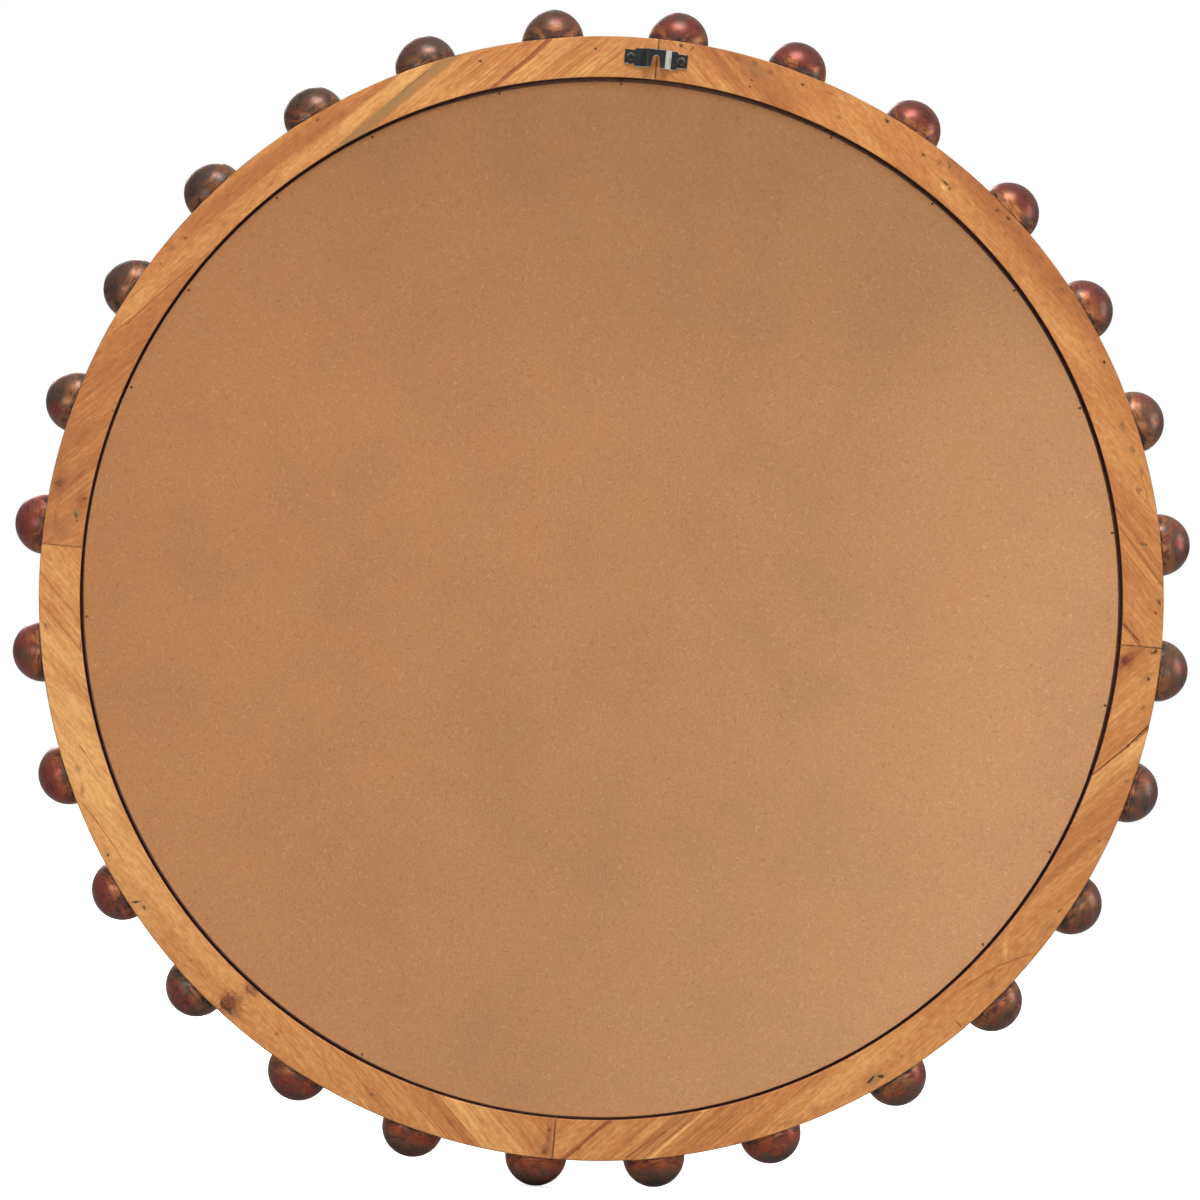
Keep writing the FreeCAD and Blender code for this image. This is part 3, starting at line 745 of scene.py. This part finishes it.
def plank(name, node, quarter, first, last, middle, low_line=0.0, high_line=0.0):
    """One plank of the ring: its section carried along the arc between two bearings.

    Where a glue line crosses the arc, the section is pressed to the side of the line on
    which the plank lies. The back is a fine grid, sunk where the wood has holes."""
    s = sizes()
    back, rest = ring_section()
    outer, inner = s.ring_radius, s.ring_radius - s.back_width
    stations = max(2, int(round(math.radians(last - first) * outer / (s.grid * s.coarse))))
    fine = np.linspace(first, last, stations * s.coarse + 1)
    slant = 1 / np.cos(np.radians(fine - middle))
    low = np.where(low_line * slant > inner, low_line * slant, 0.0)
    high = np.minimum(np.where(high_line > 0, high_line * slant, outer), outer)
    low_edge = np.clip(low, inner, outer)[:, None]
    high_edge = np.clip(high, inner, outer)[:, None]
    share = (back[:, 0] - inner)[None, :] / (outer - inner)
    radii = low_edge + share * (high_edge - low_edge)
    bearings, flat = np.meshgrid(fine, back[:, 1], indexing="ij")
    figure = wood_figure(quarter, middle, bearings, radii)
    depths = weathered(figure, bearings, radii, flat)
    # The rest of the section has a station for each few of the back's, and its last four
    # points lie in the rebate
    every = slice(None, None, s.coarse)
    bearings_rest, depths_rest = np.meshgrid(fine[every], rest[:, 1], indexing="ij")
    radii_rest = np.clip(rest[:, 0], low[every, None], high[every, None])
    figure_rest = wood_figure(quarter, middle, bearings_rest, radii_rest)
    figure_rest["wall"] = np.zeros_like(radii_rest)
    figure_rest["wall"][:, -4:] = 1
    figure_rest["finish"] = 1 - figure_rest["wall"]

    def joined(fine_values, coarse_values):
        return np.concatenate([fine_values.ravel(), coarse_values.ravel()])

    def drawn(key):
        return joined(figure[key], figure_rest[key])

    turn = np.radians(joined(bearings, bearings_rest))
    radius, depth = joined(radii, radii_rest), joined(depths, depths_rest)
    x, z = CENTRE_X - radius * np.sin(turn), CENTRE_Z + radius * np.cos(turn)
    mesh = bpy.data.meshes.new(name)
    faces = plank_faces(*bearings.shape, *bearings_rest.shape, s.coarse)
    mesh.from_pydata(np.stack([x, -depth, z], 1).tolist(), [], faces)
    grain = np.stack([drawn("along"), drawn("across"), depth], 1).astype(np.float32)
    layer = mesh.attributes.new("grain_place", "FLOAT_VECTOR", "POINT")
    layer.data.foreach_set("vector", grain.ravel())
    for key in ("paler", "redder", "greyer", "marked", "lined", "finish", "wall"):
        layer = mesh.attributes.new(key, "FLOAT", "POINT")
        layer.data.foreach_set("value", drawn(key).astype(np.float32))
    piece = finished_piece(name, mesh)
    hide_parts(node)
    return piece


def plank_faces(fine_count, back_count, coarse_count, rest_count, ratio):
    """Faces of a plank: two grids, the strips that join them and two ends.

    In a joining strip each coarse edge faces as many fine edges as the ratio says."""
    fine = np.arange(fine_count * back_count).reshape(fine_count, back_count)
    coarse = np.arange(coarse_count * rest_count).reshape(coarse_count, rest_count) + fine.size

    def quads(grid):
        corners = (grid[:-1, :-1], grid[1:, :-1], grid[1:, 1:], grid[:-1, 1:])
        return np.stack(corners, -1).reshape(-1, 4).tolist()

    def strip(fine_row, coarse_row, flip):
        made = []
        for k in range(coarse_count - 1):
            run = fine_row[k * ratio : (k + 1) * ratio + 1].tolist()
            face = run + [int(coarse_row[k + 1]), int(coarse_row[k])]
            made.append(face[::-1] if flip else face)
        return made

    ends = [
        np.concatenate([fine[0], coarse[0]])[::-1].tolist(),
        np.concatenate([fine[-1], coarse[-1]]).tolist(),
    ]
    joins = strip(fine[:, -1], coarse[:, 0], False) + strip(fine[:, 0], coarse[:, -1], True)
    return quads(fine) + quads(coarse) + joins + ends


def finished_piece(name, mesh, flat=False):
    """Links a mesh as a piece that rides on the object, outward and smooth but for its edges.

    A mesh of loose triangles that lie flat has them joined to whole faces."""
    work = bmesh.new()
    work.from_mesh(mesh)
    bmesh.ops.remove_doubles(work, verts=work.verts, dist=0.001 * MM)
    if flat:
        limit = math.radians(FLAT_ANGLE)
        bmesh.ops.dissolve_limit(work, angle_limit=limit, verts=work.verts, edges=work.edges)
    bmesh.ops.recalc_face_normals(work, faces=work.faces)
    work.to_mesh(mesh)
    work.free()
    mesh.shade_smooth()
    mesh.set_sharp_from_angle(angle=math.radians(SHARP_ANGLE))
    piece = linked(name, mesh)
    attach(piece, "root")
    return piece


def pine_material():
    """Clear-coated pine on the back, dark brown in the rebate and copper elsewhere.

    The plank's points carry the figure; fibres finer than its grid are stretched noise."""
    c = colours()
    material, place = new_material("ring_pine")
    grain = attribute(place, "grain_place", "Vector")
    fibres = noise(stretched(grain, 18, 900, 200), 1, 3, 0.6)
    hairs = noise(stretched(grain, 60, 2600, 700), 1, 2, 0.6)
    mottle = noise(stretched(grain, 130, 420, 300), 1, 4, 0.65)
    tooth = noise(place, 1300, 2, 0.6)
    streaks = (fibres - 0.5) * (attribute(place, "lined") * 1.1 + 0.35)
    flecks = (mottle - 0.5) * 1.9 + (tooth - 0.5)
    paler = attribute(place, "paler") + (streaks + flecks)
    redder, finish = attribute(place, "redder"), attribute(place, "finish")
    coat, coat_height = copper(place, outward(place))
    colour = layered(
        mixed(maths("ADD", paler, 1.0, clamp=True), c.pine_deep, c.pine),
        (c.pine_pale, paler, 1.0),
        (c.pine_red, redder, 0.6),
        (c.pine_grey, attribute(place, "greyer"), 0.7),
        (c.pine_core, smooth(redder, 1.0, 1.9), 0.75),
        (c.pine_deep, smooth(hairs, 0.64, 0.78), 0.35),
        (c.pine_dark, attribute(place, "marked"), 1.0),
        (c.rebate, attribute(place, "wall"), 1.0),
        (coat, finish, 1.0),
    )
    height = add("Mix", {0: finish, 2: hairs, 3: coat_height})
    return surfaced(material, {
        "Base Color": colour,
        "Roughness": 0.52 - finish * 0.14,
        "Metallic": finish * 0.45,
        "Normal": bump(height, 0.05 * MM, 0.5),
        "Specular IOR Level": 0.3,
    })


class MIRROR_OT_ring(bpy.types.Operator):
    """Builds the planks of the ring"""

    bl_idname = "mirror.ring"
    bl_label = "Ring planks"

    def execute(self, context):
        s = sizes()
        gap = math.degrees(s.joint_gap / s.ring_radius) / 2
        starts = list(JOINTS.values())
        ends = starts[1:] + [starts[0] + 360]
        material = pine_material()
        for quarter, start, end in zip(BANDS, starts, ends):
            first, last, middle = start + gap, end - gap, (start + end) / 2
            if quarter == "lower_left":
                planks = glued_planks(quarter, first, last, middle)
            else:
                name, node = quarter + "_plank", "ring_" + quarter
                planks = [plank(name, node, quarter, first, last, middle)]
            for piece in planks:
                piece.data.materials.append(material)
        return {"FINISHED"}


def glued_planks(quarter, first, last, middle):
    """The quarter of two planks: the outer one and the two tips of the inner one."""
    s = sizes()
    reach = math.degrees(math.acos(s.glue_line / s.ring_radius))
    tip = math.degrees(math.acos(s.glue_line / (s.ring_radius - s.back_width)))
    line = s.glue_line - GLUE_GAP
    return [
        plank("lower_left_main_plank", "ring_lower_left_main", quarter,
              middle - reach + THIN_END, middle + reach - THIN_END, middle, low_line=s.glue_line),
        plank("lower_left_side_tip", "ring_lower_left_side_tip", quarter,
              first, middle - tip, middle, high_line=line),
        plank("lower_left_bottom_tip", "ring_lower_left_bottom_tip", quarter,
              middle + tip, last, middle, high_line=line),
    ]


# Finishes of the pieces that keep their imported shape


def dress(names, material):
    """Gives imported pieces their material."""
    for name in names:
        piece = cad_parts[name]
        piece.data.materials.clear()
        piece.data.materials.append(material)


def shaded(colour, share):
    """A colour made darker, or lighter past 1, by a share."""
    return tuple(part * share for part in colour)


def ball_material():
    """Burnished copper balls. Near the ring: gold, partly a painted reflection of the wood, dark
    patches that are partly painted shade, and a painted contact shadow. Painted shade on the far
    side, and on the lowest balls red near the ring that is partly painted light.

    One ball is planed flush with the ring's back, and shows bare wood there."""
    c = colours()
    material, place = new_material("burnished_copper")
    out = outward(place)
    colour, height = copper(place, out)
    patches = noise(streaked(place, out, 90, 120), 1, 5, 0.64, 0.6)
    lines = noise(streaked(place, out, 150, 640), 1, 4, 0.7, 0.5)
    ahead = -sizes().ring_depth - parts(place)[1]
    beyond = maths("MAXIMUM", out - sizes().ring_radius, 0.0)
    off = size_of(beyond, maths("MAXIMUM", ahead, 0.0))
    # The lowest balls: red near the ring, partly their colour and partly painted light on their lit
    # upper side
    lowest_balls = near_bearing(place, 180, 22)
    # Gold near the ring: partly finish rubbed through, partly a painted reflection of the warm wood
    # beside the ball
    gold_wear_and_reflection = smooth(off, 13 * MM, 4 * MM) * smooth(patches, 0.44, 0.58)
    gold_wear_and_reflection = gold_wear_and_reflection * (1.0 - near_bearing(place, 312, 26) * 0.3)
    # Close to the ring: grey and dark patches, partly patina and partly painted shade in the crevice
    # between ball and ring
    low = smooth(off, 8 * MM, 1 * MM)
    right, up = spot(*PLANED_BALL)
    middle = (CENTRE_X - float(right), -1.5 * MM, CENTRE_Z + float(up))
    gap = add("VectorMath", {0: place, 1: middle}, "Value", operation="DISTANCE")
    bare = smooth(gap + (lines - 0.5) * (4 * MM), 12.6 * MM, 10.8 * MM)
    colour = layered(
        colour,
        (c.copper_gold, gold_wear_and_reflection, 0.5),
        (c.copper_red_and_light, smooth(off, 13 * MM, 5 * MM) * lowest_balls, 0.5),
        (c.copper_grey, low * smooth(patches, 0.5, 0.42), 0.85),
        (c.copper_dark, low * smooth(lines, 0.5, 0.6), 0.9),
        # Painted shade: the side of each ball away from the ring is darkened, most on the lowest
        # balls
        (c.copper_dark, smooth(off, 11 * MM, 22 * MM), lowest_balls * 0.35 + 0.3),
        # Painted shadow: a thin dark band where the ball meets the ring
        (c.copper_dark, smooth(off, 1.2 * MM, 0.2 * MM), 0.8),
        (mixed(smooth(lines, 0.4, 0.62), c.pine, c.pine_deep), bare, 0.85),
    )
    return surfaced(material, {
        "Base Color": colour,
        "Roughness": height * 0.2 + 0.26,
        "Metallic": (1.0 - bare) * 0.4,
        "Normal": bump(height, 0.08 * MM, 0.4),
        "Specular IOR Level": 0.36,
    })


def board_material():
    """Fibreboard: matt, with broad faint clouds, short pale and dark fibres and a fine tooth.

    It is darker towards its upper right and lighter towards its lower left, tinted warmer and
    cooler the same way, and painted with shadow along its edge."""
    c = colours()
    material, place = new_material("fibreboard")
    clouds = noise(place, 9, 3, 0.5)
    tint = noise(place, 24, 3, 0.55)
    tooth = noise(place, 620, 3, 0.7)
    layers = [(c.board_pink, smooth(tint, 0.4, 0.65), 0.6)]
    for turn, seed in ((0.4, 0), (1.5, 3), (2.5, 7)):
        inputs = {"Vector": place, "Location": (seed, 0, seed), "Rotation": (0, turn, 0)}
        laid = add("Mapping", inputs)
        pale = noise(stretched(laid, 170, 300, 620), 1, 2, 0.5, 0.5)
        dark = noise(stretched(laid, 520, 300, 230), 1, 2, 0.5, 0.5)
        layers.append((c.board_pale, smooth(pale, 0.6, 0.74), 0.42))
        layers.append((c.board_dark, smooth(dark, 0.6, 0.74), 0.45))
    layers.append((c.board_dark, smooth(tooth, 0.35, 0.7), 0.35))
    ground = mixed(smooth(clouds, 0.35, 0.65), c.board, c.board_brown)
    x, _, z = parts(place)
    left, up = CENTRE_X - x, z - CENTRE_Z
    # Darker towards the top and the upper right, lighter towards the lower left
    lighter_to_lower_left = smooth(left - up * 0.3, 0.08, 0.4) * 0.18
    darker_to_top = smooth(up, 0.08, 0.4) * 0.2
    tone = lighter_to_lower_left + 0.96 - darker_to_top
    tone = tone * ((left * 0.6 - up * 0.5) * 0.32 + 1.068)
    colour = mixed(1.0, layered(ground, *layers), tone, "MULTIPLY")
    share = maths("ADD", left * 1.1 - up * 0.5, 0.5, clamp=True)
    colour = mixed(1.0, colour, mixed(share, c.board_warm, c.board_cool), "MULTIPLY")
    # Painted shadow: a dark band along the board's edge, wider over two stretches, that widens the
    # shadowed gap between board and ring
    wavy = noise(place, 60, 3, 0.6) * (0.6 * MM)
    wide = near_bearing(place, 40, 58) * (1.2 * MM)
    narrow = near_bearing(place, 234, 28) * (0.8 * MM)
    shadow_radius = outward(place) + (wavy + (wide + narrow))
    rim = GLASS_RADIUS - 0.3 * MM
    edge = smooth(shadow_radius, rim - 0.15 * MM, rim + 0.15 * MM)
    return surfaced(material, {
        "Base Color": layered(colour, (c.board_gap_shadow, edge, 0.95)),
        "Roughness": 0.82,
        "Normal": bump(tooth, 0.08 * MM, 0.5),
        "Specular IOR Level": 0.2,
    })


def brad_material():
    """Dull wire, painted with the board's edge shadow where it crosses the gap."""
    c = colours()
    material, place = new_material("bright_steel")
    rim = GLASS_RADIUS - 1.4 * MM
    specks = noise(place, 2000, 3, 0.6)
    wire = mixed(smooth(specks, 0.35, 0.65), c.brad, shaded(c.brad, 0.6))
    # Painted shadow: where a brad crosses the gap it takes the colour of the board's edge shadow
    crossing = smooth(outward(place), rim - 0.15 * MM, rim + 0.15 * MM)
    return surfaced(material, {
        "Base Color": layered(wire, (shaded(c.board_gap_shadow, 1.6), crossing, 1.0)),
        "Roughness": crossing * 0.4 + 0.4,
        "Specular IOR Level": 0.3,
    })


def glass_material():
    """The glass: silver to the front, and brown paint over the silvering elsewhere."""
    c = colours()
    material, place = new_material("silvered_glass")
    facing = parts(add("NewGeometry", None, "True Normal", place.tree))[1]
    front = smooth(facing, -0.5, -0.9)
    specks = noise(place, 500, 3, 0.6)
    painted = mixed(smooth(specks, 0.3, 0.7), c.backing_paint, shaded(c.backing_paint, 0.7))
    return surfaced(material, {
        "Base Color": mixed(front, painted, c.silver),
        "Metallic": front,
        "Roughness": 0.55 - front * 0.53,
        "Normal": bump(noise(place, 6, 2, 0.5), 0.02 * MM, 0.05),
    })


def zinc_material():
    """Black zinc plate: glossy and finely pitted, with bare steel on its cut edges, a painted
    highlight on the downward ones and a painted reflection on one slope.

    The screws' heads are duller, with a painted highlight ring round each."""
    c = colours()
    material, place = new_material("black_zinc_steel")
    side_facing, _, up_facing = parts(add("NewGeometry", None, "True Normal", place.tree))
    x, _, z = parts(place)
    wear = noise(place, 420, 3, 0.6)
    pits = noise(place, 1900, 3, 0.7)
    # Bare steel on the cut edges, brightest on the downward edges as a painted highlight of light
    # from below
    above = smooth(up_facing, 0.2, 0.42) * smooth(wear, 0.42, 0.54)
    below = smooth(up_facing, -0.2, -0.42) * smooth(wear, 0.36, 0.46)
    bare_edge_and_glint = maths("MAXIMUM", above * 0.45, below)
    # Painted reflection: the slope beside the notch is coloured bright, as if it reflected a lamp
    beside = abs(x + 8.5 * MM)
    slope_reflection = smooth(side_facing, -0.5, -0.62) * smooth(beside, 4.4 * MM, 4.0 * MM)
    low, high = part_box("hanger_screw_left")
    from_axis = size_of(abs(x) - abs(low.x + high.x) / 2, z - (low.z + high.z) / 2)
    head = smooth(from_axis, 3.6 * MM, 3.2 * MM)
    # Painted highlight: a pale ring round each screw head
    rim = abs(from_axis - 2.8 * MM)
    head_ring_highlight = smooth(rim, 0.5 * MM, 0.1 * MM) * smooth(wear, 0.4, 0.6)
    bare_edge_and_glint = bare_edge_and_glint * (1.0 - head)
    colour = layered(
        c.zinc,
        (c.steel, smooth(pits, 0.56, 0.72), 0.16),
        (c.steel, head_ring_highlight, 0.3),
        (shaded(c.steel, 0.64), slope_reflection, 0.95),
        (c.steel, bare_edge_and_glint, 1.0),
    )
    return surfaced(material, {
        "Base Color": colour,
        "Roughness": wear * 0.15 + (head * 0.3 + 0.24),
        "Metallic": bare_edge_and_glint * 0.3,
        "IOR": 1.6,
        "Normal": bump(pits, 0.04 * MM, 0.5),
    })


def plain_material(name, colour, shade, roughness):
    """A material of one colour, clouded by a darker shade of it, with a fine tooth."""
    material, place = new_material(name)
    clouds = noise(place, 300, 4, 0.6)
    return surfaced(material, {
        "Base Color": mixed(smooth(clouds, 0.35, 0.65), colour, shaded(colour, shade)),
        "Roughness": clouds * 0.1 + (roughness - 0.05),
        "Normal": bump(clouds, 0.05 * MM, 0.3),
    })


def eased_copy(node, size):
    """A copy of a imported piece, its loose triangles joined to flat faces and its edges rounded."""
    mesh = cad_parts[node].data.copy()
    mesh.materials.clear()
    piece = finished_piece(node + "_eased", mesh, flat=True)
    ease = piece.modifiers.new("ease", "BEVEL")
    ease.width, ease.segments, ease.limit_method = size, 2, "ANGLE"
    ease.angle_limit = math.radians(EASED_ANGLE)
    ease.harden_normals, ease.use_clamp_overlap = True, False
    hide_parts(node)
    return piece


class MIRROR_OT_balls(bpy.types.Operator):
    """Finishes the balls"""

    bl_idname = "mirror.balls"
    bl_label = "Balls"

    def execute(self, context):
        dress(BALLS, ball_material())
        return {"FINISHED"}


class MIRROR_OT_filling(bpy.types.Operator):
    """Finishes the glass, its tape and the backing board with its brads"""

    bl_idname = "mirror.filling"
    bl_label = "Glass and board"

    def execute(self, context):
        c = colours()
        dress(["backing_board"], board_material())
        dress(["backing_brads"], brad_material())
        dress(["mirror_glass"], glass_material())
        dress(["mirror_tape"], plain_material("foam_tape", c.tape, 0.9, 0.8))
        dowels = [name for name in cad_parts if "dowels" in name]
        dress(dowels, plain_material("dowel_beech", c.beech, 0.8, 0.6))
        return {"FINISHED"}


class MIRROR_OT_hanger(bpy.types.Operator):
    """Finishes the hanger and its screws"""

    bl_idname = "mirror.hanger"
    bl_label = "Hanger"

    def execute(self, context):
        material = zinc_material()
        eased_copy("hanger_plate", sizes().metal_ease).data.materials.append(material)
        dress(["hanger_screw_left", "hanger_screw_right"], material)
        return {"FINISHED"}


# Studio


def floor_material():
    """A pale matt floor that the camera sees as nearly white."""
    c = colours()
    material, place = new_material("studio_floor")
    clouds = noise(place, 3, 2, 0.5)
    straight = add("LightPath", None, "Is Camera Ray", place.tree)
    pale = mixed(clouds * 0.05, c.floor, shaded(c.floor, 0.9))
    return surfaced(material, {
        "Base Color": mixed(straight, shaded(c.floor, 0.35), pale),
        "Roughness": 0.9,
        "Specular IOR Level": 0.1,
        "Emission Color": (1, 1, 1, 1),
        "Emission Strength": straight * 0.75,
    })


def studio_world():
    """White to the camera; to the object, a room that is lighter above than around."""
    world = bpy.data.worlds.new("studio")
    bpy.context.scene.world = world
    world.use_nodes = True
    tree = world.node_tree
    tree.nodes.clear()
    height = parts(add("TexCoord", None, "Generated", tree))[2]
    light = smooth(height, -0.4, 0.8) * 0.45 + 0.12
    straight = add("LightPath", None, "Is Camera Ray", tree)
    seen = add("Mix", {0: straight, 2: light, 3: 1.0})
    backdrop = add("Background", {"Color": (1, 1, 1, 1), "Strength": seen})
    tree.links.new(backdrop.socket, tree.nodes.new("ShaderNodeOutputWorld").inputs[0])


def softbox(name, place, target, width, height, power):
    """An area light that faces a target."""
    data = bpy.data.lights.new(name, "AREA")
    data.shape = "RECTANGLE"
    data.size, data.size_y, data.energy = width, height, power
    lamp = linked(name, data)
    lamp.location = place
    lamp.rotation_mode = "QUATERNION"
    lamp.rotation_quaternion = (Vector(target) - Vector(place)).to_track_quat("-Z", "Y")


def photo_camera():
    """The camera: straight behind the mirror, rolled so that the hanger leans clockwise.

    Its field is the width in metres that it sees at the mirror's distance, and it aims a
    millimetre off the mirror's middle, as the photograph does."""
    distance, roll, field = 4.0, math.radians(5.8), 0.9215
    data = bpy.data.cameras.new("camera")
    data.sensor_width = 36
    data.lens = data.sensor_width * distance / field
    camera = linked("camera", data)
    side = Vector((-math.cos(roll), 0, math.sin(roll)))
    rise = Vector((math.sin(roll), 0, math.cos(roll)))
    away = Vector((0, 1, 0))
    aim = Vector((CENTRE_X, 0, CENTRE_Z)) - side * 1.0 * MM - rise * 1.08 * MM
    turn = Matrix((side, rise, away)).transposed().to_4x4()
    camera.matrix_world = Matrix.Translation(aim + away * distance) @ turn
    bpy.context.scene.camera = camera


class MIRROR_OT_stage(bpy.types.Operator):
    """Builds the floor, the lights, the surroundings and the camera"""

    bl_idname = "mirror.stage"
    bl_label = "Stage"

    def execute(self, context):
        half, level = 6.0, CAD_BOX[0][2]
        mesh = bpy.data.meshes.new("studio_floor")
        corners = [(x * half, y * half, level) for x, y in ((-1, -1), (1, -1), (1, 1), (-1, 1))]
        mesh.from_pydata(corners, [], [(0, 1, 2, 3)])
        mesh.materials.append(floor_material())
        floor = linked("studio_floor", mesh)
        studio_world()
        middle = (CENTRE_X, 0, CENTRE_Z)
        softbox("overhead", (0, 1.6, CENTRE_Z + 3.6), middle, 2.0, 1.4, 121)
        softbox("left", (-1.9, 2.9, CENTRE_Z - 0.7), middle, 2.0, 2.2, 42)
        softbox("right", (2.1, 2.9, CENTRE_Z - 0.7), middle, 2.0, 2.2, 70)
        softbox("strip", (-2.7, 0.25, CENTRE_Z + 0.6), middle, 0.9, 1.6, 20)
        softbox("front", (1.2, -3.0, CENTRE_Z + 1.6), middle, 1.6, 1.6, 65)
        photo_camera()
        context.scene.view_settings.view_transform = "Standard"
        return {"FINISHED"}


class MIRROR_PT_panel(bpy.types.Panel):
    """Lists the sizes, the colours and the steps"""

    bl_idname = "MIRROR_PT_panel"
    bl_label = "Round mirror"
    bl_space_type = "VIEW_3D"
    bl_region_type = "UI"
    bl_category = "Mirror"

    def draw(self, context):
        for group in (context.scene.mirror_sizes, context.scene.mirror_colours):
            box = self.layout.box()
            for key in group.__annotations__:
                box.prop(group, key)
        for operator in OPERATORS:
            self.layout.operator(operator.bl_idname)


OPERATORS = (MIRROR_OT_ring, MIRROR_OT_balls, MIRROR_OT_filling, MIRROR_OT_hanger, MIRROR_OT_stage)
CLASSES = (MirrorSizes, MirrorColours, *OPERATORS, MIRROR_PT_panel)


def register():
    for kind in CLASSES:
        bpy.utils.register_class(kind)
    bpy.types.Scene.mirror_sizes = PointerProperty(type=MirrorSizes)
    bpy.types.Scene.mirror_colours = PointerProperty(type=MirrorColours)


def unregister():
    del bpy.types.Scene.mirror_colours
    del bpy.types.Scene.mirror_sizes
    for kind in reversed(CLASSES):
        bpy.utils.unregister_class(kind)


def main():
    register()
    bpy.ops.mirror.ring()
    bpy.ops.mirror.balls()
    bpy.ops.mirror.filling()
    bpy.ops.mirror.hanger()
    bpy.ops.mirror.stage()


if __name__ == "__main__":
    main()
